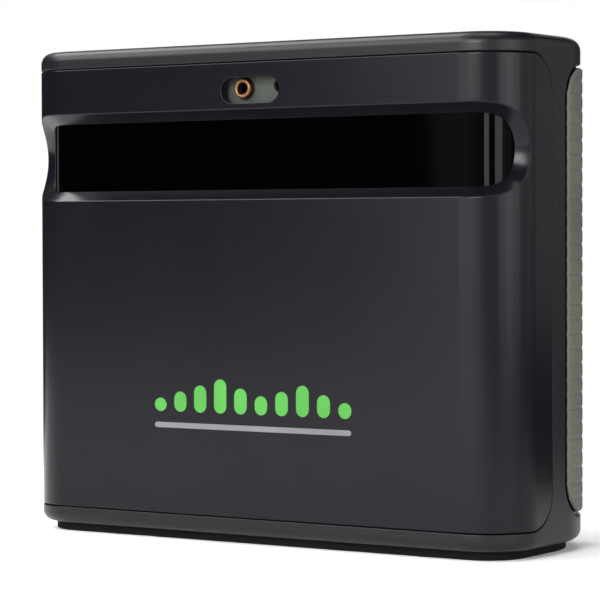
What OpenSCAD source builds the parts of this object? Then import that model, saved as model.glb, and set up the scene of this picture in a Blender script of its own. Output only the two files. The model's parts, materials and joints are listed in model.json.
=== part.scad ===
// Photometric golf launch monitor: a flat upright case with a wrapped camera window,
// an aiming laser, side grips, a levelling foot under the back, and its electronics.
// Millimetres. +X to the right, front face towards -Y, +Z up, Z = 0 is the resting face.

/* [Case] */
// Width of the case
body_w = 171; // [165:1:180]
// Depth of the case, front to back
body_d = 63.5; // [62:0.5:66]
// Height from the resting face to the top
body_h = 146; // [144:1:150]
// Plan radius of the two front corners
front_r = 16; // [15:0.5:18]
// Plan radius of the two rear corners
rear_r = 29; // [27:0.5:30]
// Moulded wall thickness
wall = 2.4; // [2.2:0.1:2.6]
// Rounding along the top edge
top_round = 3.5; // [3:0.5:4]
// Rounding along the bottom edge
bottom_round = 3; // [2.5:0.5:3.5]

/* [Seam between the two shells] */
// Height of the seam's lower run
seam_low_z = 7.9; // [7.5:0.1:8.5]
// Distance of the seam's upper run below the top
seam_top_drop = 5.9; // [5.5:0.1:6.5]
// Distance of the seam's side run behind the front face
seam_back = 24.8; // [24:0.1:26]
// Corner radius of the seam in side view
seam_r = 11; // [9:0.5:12]
// Gap of the seam
seam_gap = 0.3; // [0.2:0.05:0.4]

/* [Camera window] */
// Height of the window's centre line
window_z = 113.5; // [112:0.5:115]
// Half height of the recess at the outer surface
recess_half = 13.1; // [12.5:0.1:13.5]
// Half height of the recess at the window
sight_half = 10.1; // [9.5:0.1:10.5]
// Depth of the window behind the outer surface
recess_depth = 4; // [3.5:0.1:4.5]
// Thickness of the window strip
window_t = 2; // [1.5:0.1:2.2]

/* [Aiming laser] */
// Height of the laser opening's centre
laser_z = 132; // [131.5:0.1:132.5]
// Length of the laser opening
laser_slot_w = 20.2; // [18:0.1:22]
// Height of the laser opening
laser_slot_h = 7.5; // [7:0.1:8.2]
// Offset of the laser barrel from the middle of the case
laser_x = -4.1; // [-5:0.1:0]
// Outside diameter of the laser barrel
laser_d = 6; // [5.6:0.1:6.2]

/* [Side grips] */
// Distance of a grip's front edge behind the front face
grip_back = 32.7; // [32:0.1:34]
// Height of a grip's lower edge
grip_low_z = 10.8; // [10:0.1:12]
// Height of a grip's upper edge
grip_top_z = 137.4; // [136:0.1:138]
// Corner radius of a grip
grip_r = 9.5; // [8:0.5:11]
// Amount that a grip stands out of the case
grip_proud = 0.6; // [0.4:0.1:0.8]
// Angle at which a grip ends on the rear corner
grip_end_angle = 68; // [60:1:75]

/* [Power button] */
// Diameter of the power button
button_d = 11; // [10:0.5:12]
// Travel of the power button
button_travel = 0.8; // [0.5:0.1:1]

/* [Levelling foot] */
// Travel of the levelling foot
foot_travel = 6.25; // [5:0.25:6.25]
// Diameter of the thumbwheel
wheel_d = 26; // [25:0.5:26]
// Thickness of the thumbwheel
wheel_t = 5.4; // [5:0.1:5.6]
// Diameter of the foot's stud
stud_d = 6; // [5:0.5:6]

/* [Hidden] */

// Roundness of round features, large and small, and steps on each corner of the rounded shells
round_fn = 48;
small_fn = 16;
shell_steps = 12;
// Overlap that joins two touching solids
eps = 0.05;
// Extra diameter of a hole round a part that is pushed in
fit = 0.1;
// Length by which a cut runs past the face it opens
cut = 1;
// Length by which a cutting prism runs past the whole case
beyond = 10;

// Main faces of the case
front_y = -body_d / 2;
back_y = body_d / 2;
side_x = body_w / 2;
pad_h = 2.5;
floor_z = pad_h + wall;
inner_gap = 0.3;
front_in = front_y + wall;
back_in = back_y - wall;
seam_y = front_y + seam_back;
seam_top_z = body_h - seam_top_drop;
front_corner_x = side_x - front_r;
front_corner_y = front_y + front_r;
rear_corner_x = side_x - rear_r;
rear_corner_y = back_y - rear_r;
grip_y = front_y + grip_back;
grip_in = 1.1;
grip_seat = 1.2;
grip_gap = 0.4;

// Window strip
window_gap = 0.1;
window_out = recess_depth + window_gap;
window_half = sight_half + 2.1;
flange_half = recess_half + 0.8;
window_back_y = front_y + window_out + window_t;

// Pillars that join the shells
pillar_x = 50;
pillar_low_z = 14;
pillar_top_z = 132;
pillar_d = 7.5;
pillar_split_y = 0;
pillar_gap = 0.1;
pillar_zs = [pillar_low_z, pillar_top_z];
screw_d = 3;
screw_clear = 0.4;
screw_seat_y = 27;
screw_head_d = 5.6;
screw_head_h = 2.4;
screw_hex = 2.6;
screw_well_d = 6.6;
insert_d = 4.6;
insert_len = 8;
insert_bore_len = 12;

// Small screws and the bosses that take them
boss_d = 6;
pilot_d = 2.1;
clear_d = 2.6;
thread_d = 2;
head_d = 4.2;
head_h = 1.5;

// Optics chassis plate, behind the window
chassis_y = -17;
chassis_t = 2.5;
chassis_w = 144;
chassis_low_z = 99.5;
chassis_top_z = 127.5;
chassis_ear_x = 35;
chassis_ear = 8;
chassis_ear_zs = [chassis_low_z - chassis_ear / 2, chassis_top_z + chassis_ear / 2];
chassis_screw_len = 6;
rim_wall = 1.4;
rim_w = 136;
rim_half = 12.2;
rim_in_w = rim_w - 2 * rim_wall;
rim_in_h = 2 * (rim_half - rim_wall);
gasket_t = 1;
rim_front_y = window_back_y + gasket_t;

// Stereo cameras
camera_x = 56;
camera_board_y = chassis_y + chassis_t + 3;
camera_board_t = 1.2;
camera_board_w = 26;
camera_board_h = 24;
holder_side = 14;
barrel_d = 11;
barrel_head_d = 12.6;
barrel_front_y = -24.4;
barrel_bore = 7.6;

// Flash lamp
flash_w = 64;
flash_h = 21;
flash_board_y = -19.2;
board_t = 1.6;
led_cols = 6;
led_pitch_x = 9.6;
led_pitch_z = 9.6;
led_side = 3.5;
led_h = 1.6;

// Laser
laser_barrel_z = laser_z + 0.65;
laser_front_y = front_y + 1.9;
laser_plate_y = front_y + 4.2;
laser_plate_t = 1.4;
laser_len = 15;
laser_bore_d = 2.9;
laser_bore_len = 3;
laser_mouth_d = 4;
spare_hole_x = 7.7;
spare_hole_rise = 1.3;
spare_hole_d = 4;

// Boards behind the optics
main_y = 2;
main_w = 132;
main_low_z = 22;
main_top_z = 92;
main_hole_x = 60;
main_hole_inset = 6;
main_hole_zs = [main_low_z + main_hole_inset, main_top_z - main_hole_inset];
main_screw_len = 8;
flex_socket_z = main_top_z - 14;
io_y = 21;
io_t = 1.6;
io_x = -38;
io_w = 26;
io_low_z = 18;
io_top_z = 62;
io_hole_xs = [io_x - 10, io_x + 10];
io_hole_z = io_top_z - 3;
io_boss_d = 5;
io_pilot_d = 1.7;
io_screw_len = 5;
io_head_d = 3.2;
io_thread_d = 1.6;
io_clear_d = 2.2;

// Controls in the back wall
button_z = 40;
dish_d = 16;
dish_deep = 1;
button_face_y = back_y - 0.15;
button_guide = 0.3;
button_stem_d = 4;
button_slack = 0.2;
switch_side = 6;
switch_h = 3;
switch_plunger_d = 3.4;
led_gap = 1.2;
pipe_z = 54;
pipe_d = 2.6;
pipe_pitch = 6;
usb_z = 26;
usb_w = 7.6;
usb_h = 2.8;
usb_len = 7.85;
usb_mouth_w = 12;
usb_mouth_h = 7;
usb_mouth_deep = 1.2;
usb_clear = 0.4;

// Battery
cell_d = 18.4;
cell_len = 65;
cell_pitch = 18.8;
battery_x = 22;
battery_y = 18.2;
battery_z = 47;
wrap_t = 0.4;
wrap_gap = 0.1;
lead_z = 32;
lead_socket_x = 30;
lead_d = 1.2;

// Levelling foot
foot_y = 18;
wheel_seat_z = floor_z + 1.2;
wheel_seat_d = 22;
wheel_z = wheel_seat_z + 0.3;
wheel_top_z = wheel_z + wheel_t;
bridge_z = wheel_top_z + 0.4;
bridge_t = 2.2;
bridge_w = 44;
bridge_d = 12;
bridge_screw_x = 18;
foot_side = 13;
foot_low_z = 0.5;
foot_tip_h = 3.6;
pocket_gap = 0.4;
stud_gap = 0.05;
stud_spare = 4.35;
stud_top_z = bridge_z + bridge_t + foot_travel + stud_spare;
knurl_count = 36;

// Label
label_x = 22;
label_z = 104;
label_w = 46;
label_h = 26;
label_t = 0.25;
label_gap = 0.2;
label_seat = 0.3;

// ---------- shared shapes ----------

// Outline of the case in plan, moved inwards by inset
module plan(inset = 0, fn = round_fn) {
    w = side_x - inset;
    d = back_y - inset;
    rf = front_r - inset;
    rr = rear_r - inset;
    translate([-(w - rr), -d]) square([2 * (w - rr), 2 * d]);
    translate([-(w - rf), -d]) square([2 * (w - rf), d]);
    translate([-w, rf - d]) square([2 * w, 2 * d - rf - rr]);
    for (side = [-1, 1]) {
        translate([side * (w - rf), rf - d]) circle(r = rf, $fn = fn);
        translate([side * (w - rr), d - rr]) circle(r = rr, $fn = fn);
    }
}

// Points along an arc, both ends included
function arc_points(cx, cy, r, from, to) =
    [for (i = [0:shell_steps])
        let (a = from + (to - from) * i / shell_steps)
        [cx + r * cos(a), cy + r * sin(a)]];

// The same outline as plan(), as a closed loop of points
function plan_points(inset) =
    let (w = side_x - inset, d = back_y - inset, rf = front_r - inset, rr = rear_r - inset)
    concat(
        arc_points(w - rr, d - rr, rr, 0, 90),
        arc_points(rr - w, d - rr, rr, 90, 180),
        arc_points(rf - w, rf - d, rf, 180, 270),
        arc_points(w - rf, rf - d, rf, 270, 360)
    );

// Case solid with rounded top and bottom edges, moved inwards by inset
module case_solid(inset = 0) {
    low = pad_h + inset;
    top = body_h - inset;
    shrink = 0.6;
    rt = top_round - inset * shrink;
    rb = bottom_round - inset * shrink;
    angles = [0, 30, 60, 90];
    levels = concat(
        [for (i = [3:-1:0]) [low + rb * (1 - sin(angles[i])), inset + rb * (1 - cos(angles[i]))]],
        [for (a = angles) [top - rt * (1 - sin(a)), inset + rt * (1 - cos(a))]]
    );
    loop = 4 * (shell_steps + 1);
    last = len(levels) - 1;
    polyhedron(
        points = [for (level = levels, p = plan_points(level[1])) [p[0], p[1], level[0]]],
        faces = concat(
            [[for (i = [0:loop - 1]) i]],
            [[for (i = [loop - 1:-1:0]) last * loop + i]],
            [for (k = [0:last - 1], i = [0:loop - 1]) let (j = (i + 1) % loop)
                [k * loop + i, (k + 1) * loop + i, (k + 1) * loop + j, k * loop + j]]
        )
    );
}

// Prism along X from an outline drawn in Y and Z
module along_x(length, start) {
    translate([start, 0, 0]) rotate([90, 0, 90]) linear_extrude(length) children();
}

// Cylinder along Y between two stations
module rod_y(x, z, y0, y1, d, fn = round_fn) {
    translate([x, y0, z]) rotate([-90, 0, 0]) cylinder(d = d, h = y1 - y0, $fn = fn);
}

// Box given by its middle in X and Z and by its stations along Y
module slab_y(x, z, w, h, y0, y1) {
    translate([x - w / 2, y0, z - h / 2]) cube([w, y1 - y0, h]);
}

// Side view of the front shell: square at the front, rounded behind
module panel_outline(grow = 0) {
    y1 = seam_y + grow;
    z0 = seam_low_z - grow;
    z1 = seam_top_z + grow;
    r = seam_r + grow;
    far = front_y - beyond;
    translate([far, z0]) square([y1 - r - far, z1 - z0]);
    translate([far, z0 + r]) square([y1 - far, z1 - z0 - 2 * r]);
    translate([y1 - r, z0 + r]) circle(r = r, $fn = round_fn);
    translate([y1 - r, z1 - r]) circle(r = r, $fn = round_fn);
}

module panel_prism(grow = 0) {
    along_x(2 * (side_x + beyond), -side_x - beyond) panel_outline(grow);
}

// Side view of a grip: rounded in front, open behind
module grip_outline(grow = 0) {
    y0 = grip_y - grow;
    z0 = grip_low_z - grow;
    z1 = grip_top_z + grow;
    r = grip_r + grow;
    far = back_y + beyond;
    translate([y0 + r, z0]) square([far - y0 - r, z1 - z0]);
    translate([y0, z0 + r]) square([far - y0, z1 - z0 - 2 * r]);
    translate([y0 + r, z0 + r]) circle(r = r, $fn = round_fn);
    translate([y0 + r, z1 - r]) circle(r = r, $fn = round_fn);
}

// Part of the right side that a grip covers, between two insets of the plan
module grip_band(outer, inner, grow) {
    cut_angle = grip_end_angle + grow;
    inner_reach = 40;
    outer_reach = 60;
    far = inner_reach + outer_reach;
    intersection() {
        linear_extrude(body_h) difference() {
            plan(outer);
            plan(inner);
            polygon([
                [rear_corner_x - inner_reach * cos(cut_angle), rear_corner_y - inner_reach * sin(cut_angle)],
                [rear_corner_x + outer_reach * cos(cut_angle), rear_corner_y + outer_reach * sin(cut_angle)],
                [rear_corner_x - far, rear_corner_y + far],
                [-side_x - beyond, 0],
                [-side_x - beyond, front_y - beyond],
                [0, front_y - beyond]
            ]);
        }
        along_x(side_x, front_r) grip_outline(grow);
    }
}

// ---------- case ----------

// Bevelled recess that wraps the front and both corners, closed by a round end
module recess_cut() {
    slope = (recess_half - sight_half) / recess_depth;
    over = 1;
    behind = 3;
    wide = recess_half + slope * over;
    intersection() {
        union() {
            along_x(2 * front_corner_x, -front_corner_x) translate([front_y, window_z]) polygon([
                [-over, -wide], [recess_depth, -sight_half], [recess_depth + behind, -sight_half],
                [recess_depth + behind, sight_half], [recess_depth, sight_half], [-over, wide]
            ]);
            for (side = [0, 1]) mirror([side, 0, 0])
                translate([front_corner_x, front_corner_y, window_z]) rotate([0, 0, -90])
                    rotate_extrude(angle = 90, $fn = round_fn) polygon([
                        [front_r - recess_depth - behind, -sight_half],
                        [front_r - recess_depth, -sight_half],
                        [front_r + over, -wide], [front_r + over, wide],
                        [front_r - recess_depth, sight_half],
                        [front_r - recess_depth - behind, sight_half]
                    ]);
        }
        translate([-side_x - beyond, front_y, window_z]) rotate([0, 90, 0])
            cylinder(r = recess_half, h = 2 * (side_x + beyond), $fn = round_fn);
    }
}

module laser_opening() {
    straight = laser_slot_w - laser_slot_h;
    for (side = [-1, 1])
        rod_y(side * straight / 2, laser_z, front_y - 1, front_in + 1, laser_slot_h);
    slab_y(0, laser_z, straight, laser_slot_h, front_y - 1, front_in + 1);
}

// Inward flange that carries the window
module window_flange() {
    intersection() {
        translate([0, 0, window_z - flange_half]) linear_extrude(2 * flange_half) difference() {
            plan(wall / 2);
            plan(recess_depth);
        }
        translate([-side_x, front_y, window_z - flange_half])
            cube([2 * side_x, front_r, 2 * flange_half]);
    }
}

module front_pillars() {
    for (x = [-pillar_x, pillar_x], z = pillar_zs)
        rod_y(x, z, front_y + wall / 2, pillar_split_y - pillar_gap, pillar_d);
    for (x = [-chassis_ear_x, chassis_ear_x], z = chassis_ear_zs)
        rod_y(x, z, front_y + wall / 2, chassis_y, boss_d);
}

module front_pillar_bores() {
    for (x = [-pillar_x, pillar_x], z = pillar_zs)
        rod_y(x, z, pillar_split_y - insert_bore_len, pillar_split_y + cut, insert_d + fit);
    for (x = [-chassis_ear_x, chassis_ear_x], z = chassis_ear_zs)
        rod_y(x, z, chassis_y - chassis_screw_len - cut, chassis_y + cut, pilot_d);
}

// Front panel that wraps both front corners
module front_shell() {
    color([0.16, 0.16, 0.18]) difference() {
        union() {
            intersection() {
                difference() {
                    case_solid();
                    case_solid(wall);
                }
                panel_prism();
            }
            window_flange();
            front_pillars();
        }
        recess_cut();
        laser_opening();
        front_pillar_bores();
    }
}

module rear_pillars() {
    root_z = pad_h + wall / 2;
    for (x = [-pillar_x, pillar_x], z = pillar_zs)
        rod_y(x, z, pillar_split_y + pillar_gap, back_y - wall / 2, pillar_d);
    for (x = [-main_hole_x, main_hole_x], z = main_hole_zs)
        rod_y(x, z, main_y + board_t, back_y - wall / 2, boss_d);
    for (x = io_hole_xs)
        rod_y(x, io_hole_z, io_y + io_t, back_y - wall / 2, io_boss_d);
    for (x = [-bridge_screw_x, bridge_screw_x])
        translate([x, foot_y, root_z]) cylinder(d = boss_d, h = bridge_z - root_z, $fn = round_fn);
    translate([0, foot_y, root_z]) cylinder(d = wheel_seat_d, h = wheel_seat_z - root_z, $fn = round_fn);
}

module rear_bores() {
    for (x = [-pillar_x, pillar_x], z = pillar_zs) {
        rod_y(x, z, pillar_split_y - cut, back_y + cut, screw_d + screw_clear);
        rod_y(x, z, screw_seat_y, back_y + cut, screw_well_d);
    }
    for (x = [-main_hole_x, main_hole_x], z = main_hole_zs)
        rod_y(x, z, main_y, main_y + main_screw_len + cut, pilot_d);
    for (x = io_hole_xs) rod_y(x, io_hole_z, io_y, io_y + io_screw_len + cut, io_pilot_d);
    for (x = [-bridge_screw_x, bridge_screw_x])
        translate([x, foot_y, floor_z + cut]) cylinder(d = pilot_d, h = bridge_z, $fn = round_fn);
}

// Openings for the button, the light pipes and the socket
module control_cuts() {
    rod_y(io_x, button_z, back_y - dish_deep, back_y + 1, dish_d);
    rod_y(io_x, button_z, back_in - 2, back_y + 1, button_d + 2 * button_guide);
    for (i = [-1, 0, 1]) rod_y(io_x + i * pipe_pitch, pipe_z, back_in - 2, back_y + 1, pipe_d + 0.1);
    slab_y(io_x, usb_z, usb_w + usb_clear, usb_h + usb_clear, back_in - wall, back_y + cut);
    slab_y(io_x, usb_z, usb_mouth_w, usb_mouth_h, back_y - usb_mouth_deep, back_y + cut);
}

// Slot in the back wall that shows the thumbwheel, and the pocket of the foot
module foot_cuts() {
    slot_w = 23;
    slot_deep = wall + 4;
    slab_y(0, wheel_z + wheel_t / 2, slot_w, wheel_t + 2 * pocket_gap, back_y - slot_deep, back_y + cut);
    pocket = foot_side + 2 * pocket_gap;
    translate([-pocket / 2, foot_y - pocket / 2, -1]) cube([pocket, pocket, wheel_z + 1]);
}

// Tub behind the front panel: top, base, side bands and back in one piece
module rear_housing() {
    color([0.13, 0.13, 0.14]) difference() {
        union() {
            difference() {
                case_solid();
                case_solid(wall);
                panel_prism(seam_gap);
            }
            rear_pillars();
        }
        rear_bores();
        control_cuts();
        foot_cuts();
        for (side = [0, 1]) mirror([side, 0, 0]) grip_band(-2, grip_seat, grip_gap);
        slab_y(label_x, label_z, label_w + 2 * label_gap, label_h + 2 * label_gap,
            back_y - label_seat, back_y + cut);
    }
}

// Smoked strip behind the recess
module camera_window() {
    color([0.02, 0.02, 0.02, 0.9]) intersection() {
        translate([0, 0, window_z - window_half]) linear_extrude(2 * window_half) difference() {
            plan(window_out);
            plan(window_out + window_t);
        }
        translate([-side_x, front_y, window_z - window_half])
            cube([2 * side_x, front_r - 0.5, 2 * window_half]);
    }
}

// Rubber ring between the window and the optics
module window_gasket() {
    color([0.05, 0.05, 0.05]) difference() {
        slab_y(0, window_z, rim_w, 2 * rim_half, window_back_y, rim_front_y);
        slab_y(0, window_z, rim_in_w, rim_in_h, window_back_y - cut, rim_front_y + cut);
    }
}

// Strip that closes the seam from inside
module seam_gasket() {
    half = 2;
    fit_gap = 0.15;
    thick = 0.8;
    color([0.06, 0.06, 0.06]) intersection() {
        difference() {
            case_solid(wall + fit_gap);
            case_solid(wall + fit_gap + thick);
        }
        difference() {
            panel_prism(half);
            panel_prism(-half);
        }
    }
}

// Ribbed rubber pad on the right side and around the rear corner
module side_grip() {
    color([0.36, 0.37, 0.34]) grip_band(-grip_proud, grip_in, 0);
}

module side_grip_right() side_grip();
module side_grip_left() mirror([1, 0, 0]) side_grip();

// Rubber sheet under the case
module base_pad() {
    pad_inset = 4.2;
    pocket = foot_side + 2 * pocket_gap;
    color([0.05, 0.05, 0.05]) difference() {
        linear_extrude(pad_h) plan(pad_inset);
        translate([-pocket / 2, foot_y - pocket / 2, -1]) cube([pocket, pocket, pad_h + 2]);
    }
}

// Blank label on the back
module rating_label() {
    color([0.7, 0.7, 0.7])
        slab_y(label_x, label_z, label_w, label_h, back_y - label_seat, back_y - label_seat + label_t);
}

// ---------- controls ----------

// Round push button with a stem that meets the switch
module power_button() {
    collar_t = 1;
    collar_rim = 1.2;
    collar_y = back_in - inner_gap - collar_t;
    stem_end_y = io_y + io_t + switch_h + button_travel + button_slack;
    color([0.08, 0.08, 0.09]) {
        rod_y(io_x, button_z, collar_y, button_face_y, button_d);
        rod_y(io_x, button_z, collar_y, collar_y + collar_t, button_d + 2 * collar_rim);
        rod_y(io_x, button_z, stem_end_y, collar_y + eps, button_stem_d);
    }
}

// Clear rods that carry the status lights to the back
module status_light_pipes() {
    color([0.85, 0.9, 0.85]) for (i = [-1, 0, 1])
        rod_y(io_x + i * pipe_pitch, pipe_z, io_y + io_t + led_gap, back_y - window_gap, pipe_d);
}

// Metal shell of the charging socket, open at the back
module usb_connector() {
    y1 = back_y - usb_mouth_deep - window_gap;
    shell_t = 0.3;
    tongue_t = 0.7;
    tongue_w = usb_w - 3;
    color([0.75, 0.75, 0.77]) difference() {
        slab_y(io_x, usb_z, usb_w, usb_h, y1 - usb_len, y1);
        difference() {
            slab_y(io_x, usb_z, usb_w - 2 * shell_t, usb_h - 2 * shell_t, y1 - usb_len + cut, y1 + cut);
            slab_y(io_x, usb_z, tongue_w, tongue_t, y1 - usb_len, y1 - 2 * shell_t);
        }
    }
}

// Small board behind the controls
module io_board() {
    color([0.05, 0.3, 0.15]) difference() {
        slab_y(io_x, (io_low_z + io_top_z) / 2, io_w, io_top_z - io_low_z, io_y, io_y + io_t);
        for (x = io_hole_xs) rod_y(x, io_hole_z, io_y - cut, io_y + io_t + cut, io_clear_d);
    }
}

// Push switch that the button's stem presses
module tact_switch() {
    y0 = io_y + io_t;
    color([0.2, 0.2, 0.2]) {
        slab_y(io_x, button_z, switch_side, switch_side, y0, y0 + switch_h - 1);
        rod_y(io_x, button_z, y0 + switch_h - 1, y0 + switch_h, switch_plunger_d);
    }
}

module status_leds() {
    y0 = io_y + io_t;
    chip = [1.6, 0.7, 0.8];
    color([0.9, 0.95, 0.8]) for (i = [-1, 0, 1])
        slab_y(io_x + i * pipe_pitch, pipe_z, chip[0], chip[2], y0, y0 + chip[1]);
}

// ---------- main electronics ----------

module main_board() {
    mid_z = (main_low_z + main_top_z) / 2;
    color([0.03, 0.28, 0.14]) difference() {
        slab_y(0, mid_z, main_w, main_top_z - main_low_z, main_y, main_y + board_t);
        for (x = [-main_hole_x, main_hole_x], z = main_hole_zs)
            rod_y(x, z, main_y - cut, main_y + board_t + cut, clear_d);
    }
}

// Packages on the front of the main board: [x, z, width, height, thickness]
module board_chips() {
    packages = [[-40, 70, 14, 14, 1.4], [-18, 72, 10, 12, 1.2], [40, 70, 12, 12, 1.2], [44, 40, 9, 9, 1]];
    coil = [4.2, 1.6, 5];
    coil_pitch = 7;
    coil_x = -54;
    coil_z = 34;
    color([0.08, 0.08, 0.09]) {
        for (p = packages) slab_y(p[0], p[1], p[2], p[3], main_y - p[4], main_y);
        for (i = [0:4]) slab_y(coil_x + i * coil_pitch, coil_z, coil[0], coil[2], main_y - coil[1], main_y);
    }
}

// Pressed lid over the radio and the processor
module shield_can() {
    lid_t = 0.4;
    lid = [44, 3, 30];
    x = 6;
    z = 46;
    color([0.72, 0.72, 0.74]) difference() {
        slab_y(x, z, lid[0], lid[2], main_y - lid[1], main_y);
        slab_y(x, z, lid[0] - 2 * lid_t, lid[2] - 2 * lid_t, main_y - lid[1] + lid_t, main_y + cut);
    }
}

module board_sockets() {
    flex_socket = [9, 2.4, 4];
    lead_socket = [8, 5, 5];
    back_face = main_y + board_t;
    color([0.9, 0.88, 0.8]) {
        for (x = [-camera_x, camera_x])
            slab_y(x, flex_socket_z, flex_socket[0], flex_socket[2], main_y - flex_socket[1], main_y);
        slab_y(lead_socket_x, lead_z, lead_socket[0], lead_socket[2], back_face, back_face + lead_socket[1]);
    }
}

// Small pan-head screw along Y, its head towards the front
module board_screw(x, z, y, length, head, d) {
    rod_y(x, z, y - head_h, y, head);
    rod_y(x, z, y - eps, y + length, d);
}

module board_screws() {
    color([0.7, 0.7, 0.72]) {
        for (x = [-main_hole_x, main_hole_x], z = main_hole_zs)
            board_screw(x, z, main_y, main_screw_len, head_d, thread_d);
        for (x = io_hole_xs)
            board_screw(x, io_hole_z, io_y, io_screw_len, io_head_d, io_thread_d);
    }
}

module battery_cells() {
    color([0.2, 0.45, 0.7]) for (side = [-0.5, 0.5])
        translate([battery_x - cell_len / 2, battery_y, battery_z + side * cell_pitch])
            rotate([0, 90, 0]) cylinder(d = cell_d, h = cell_len, $fn = round_fn);
}

// Outline of the two cells together, drawn in Y and Z
module pack_outline(grow) {
    r = cell_d / 2 + grow;
    for (side = [-0.5, 0.5])
        translate([battery_y, battery_z + side * cell_pitch]) circle(r = r, $fn = round_fn);
    translate([battery_y - r, battery_z - cell_pitch / 2]) square([2 * r, cell_pitch]);
}

module battery_wrap() {
    color([0.1, 0.12, 0.3]) along_x(cell_len - 2, battery_x - cell_len / 2 + 1) difference() {
        pack_outline(wrap_gap + wrap_t);
        pack_outline(wrap_gap);
    }
}

// Tray that holds the pack against the back wall
module battery_cradle() {
    reach = 11;
    tray_t = 1.6;
    tray_gap = 0.15;
    tray_floor = 9;
    clear = wrap_gap + wrap_t + tray_gap;
    end_x = cell_len / 2 + 0.5;
    z0 = battery_z - cell_pitch / 2 - cell_d / 2 - clear;
    tray_h = cell_pitch + cell_d + 2 * clear;
    color([0.15, 0.15, 0.16]) difference() {
        translate([battery_x - end_x - tray_t, back_in - inner_gap - reach, z0 - tray_t])
            cube([2 * (end_x + tray_t), reach, tray_h + 2 * tray_t]);
        along_x(2 * end_x, battery_x - end_x) pack_outline(clear);
        translate([battery_x - end_x, back_in - reach - 1, z0]) cube([2 * end_x, reach - tray_floor, tray_h]);
    }
}

// Round lead along a route of straight runs with rounded bends
module lead(route, d) {
    for (i = [0:len(route) - 2]) {
        span = route[i + 1] - route[i];
        translate(route[i]) rotate([0, acos(span[2] / norm(span)), atan2(span[1], span[0])])
            cylinder(d = d, h = norm(span), $fn = small_fn);
    }
    for (i = [1:len(route) - 2]) translate(route[i]) sphere(d = d, $fn = small_fn);
}

// Two leads from the board's socket round to the end of the pack
module battery_leads() {
    pack_end_x = battery_x - cell_len / 2;
    socket_side_x = lead_socket_x - 4;
    mid_y = main_y + board_t + 2.5;
    turn_x = pack_end_x - 4.5;
    entry_x = pack_end_x - eps;
    entry_y = battery_y - 4;
    for (side = [-1, 1]) {
        z = lead_z + side * lead_d;
        route = [[socket_side_x, mid_y, z], [turn_x, mid_y, z], [turn_x, entry_y, z], [entry_x, entry_y, z]];
        color(side < 0 ? [0.7, 0.05, 0.05] : [0.05, 0.05, 0.05]) lead(route, lead_d);
    }
}

module wifi_antenna() {
    film = [44, 0.8, 9];
    x = 30;
    z = 120;
    y1 = back_in - inner_gap;
    color([0.75, 0.6, 0.3]) slab_y(x, z, film[0], film[2], y1 - film[1], y1);
}

// ---------- optics ----------

// Plate with a light rim towards the window
module optics_chassis() {
    y1 = chassis_y + chassis_t;
    laser_ear = [32, 14];
    sink_hole = [40, 12];
    camera_hole = holder_side + 1;
    mid_z = (chassis_low_z + chassis_top_z) / 2;
    color([0.1, 0.1, 0.11]) difference() {
        union() {
            slab_y(0, mid_z, chassis_w, chassis_top_z - chassis_low_z, chassis_y, y1);
            for (x = [-chassis_ear_x, chassis_ear_x])
                slab_y(x, mid_z, chassis_ear, chassis_top_z - chassis_low_z + 2 * chassis_ear, chassis_y, y1);
            slab_y(0, laser_z, laser_ear[0], laser_ear[1], chassis_y, y1);
            difference() {
                slab_y(0, window_z, rim_w, 2 * rim_half, rim_front_y, chassis_y + eps);
                slab_y(0, window_z, rim_in_w, rim_in_h, rim_front_y - cut, chassis_y + cut);
            }
        }
        for (x = [-camera_x, camera_x])
            slab_y(x, window_z, camera_hole, camera_hole, chassis_y - cut, y1 + cut);
        slab_y(0, window_z, sink_hole[0], sink_hole[1], chassis_y - cut, y1 + cut);
        rod_y(laser_x, laser_barrel_z, chassis_y - cut, y1 + cut, laser_d + screw_clear);
        for (x = [-chassis_ear_x, chassis_ear_x], z = chassis_ear_zs)
            rod_y(x, z, chassis_y - cut, y1 + cut, clear_d);
    }
}

module chassis_screws() {
    y1 = chassis_y + chassis_t;
    color([0.7, 0.7, 0.72])
        for (x = [-chassis_ear_x, chassis_ear_x], z = chassis_ear_zs) {
            rod_y(x, z, y1, y1 + head_h, head_d);
            rod_y(x, z, chassis_y - chassis_screw_len, y1 + eps, thread_d);
        }
}

module camera_board(side) {
    color([0.04, 0.25, 0.4])
        slab_y(side * camera_x, window_z, camera_board_w, camera_board_h, camera_board_y,
            camera_board_y + camera_board_t);
}

// Square holder between the board and the screwed lens
module lens_holder(side) {
    x = side * camera_x;
    color([0.12, 0.12, 0.12]) difference() {
        slab_y(x, window_z, holder_side, holder_side, chassis_y - 2, camera_board_y - eps);
        rod_y(x, window_z, chassis_y - 2 - cut, camera_board_y + cut, barrel_d + fit);
    }
}

module lens_barrel(side) {
    x = side * camera_x;
    color([0.1, 0.1, 0.1]) difference() {
        union() {
            rod_y(x, window_z, barrel_front_y, chassis_y + 1, barrel_d);
            rod_y(x, window_z, barrel_front_y, barrel_front_y + 3, barrel_head_d);
        }
        rod_y(x, window_z, barrel_front_y - cut, chassis_y + 2 * cut, barrel_bore);
    }
}

// Front element, a plane disc with a domed face
module lens_glass(side) {
    dome_r = 6;
    front_gap = 0.4;
    seat_y = barrel_front_y + 3.4;
    color([0.5, 0.55, 0.7, 0.6]) intersection() {
        rod_y(side * camera_x, window_z, barrel_front_y + front_gap, seat_y, barrel_bore - fit);
        translate([side * camera_x, barrel_front_y + front_gap + 0.2 + dome_r, window_z])
            sphere(r = dome_r, $fn = round_fn);
    }
}

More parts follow.
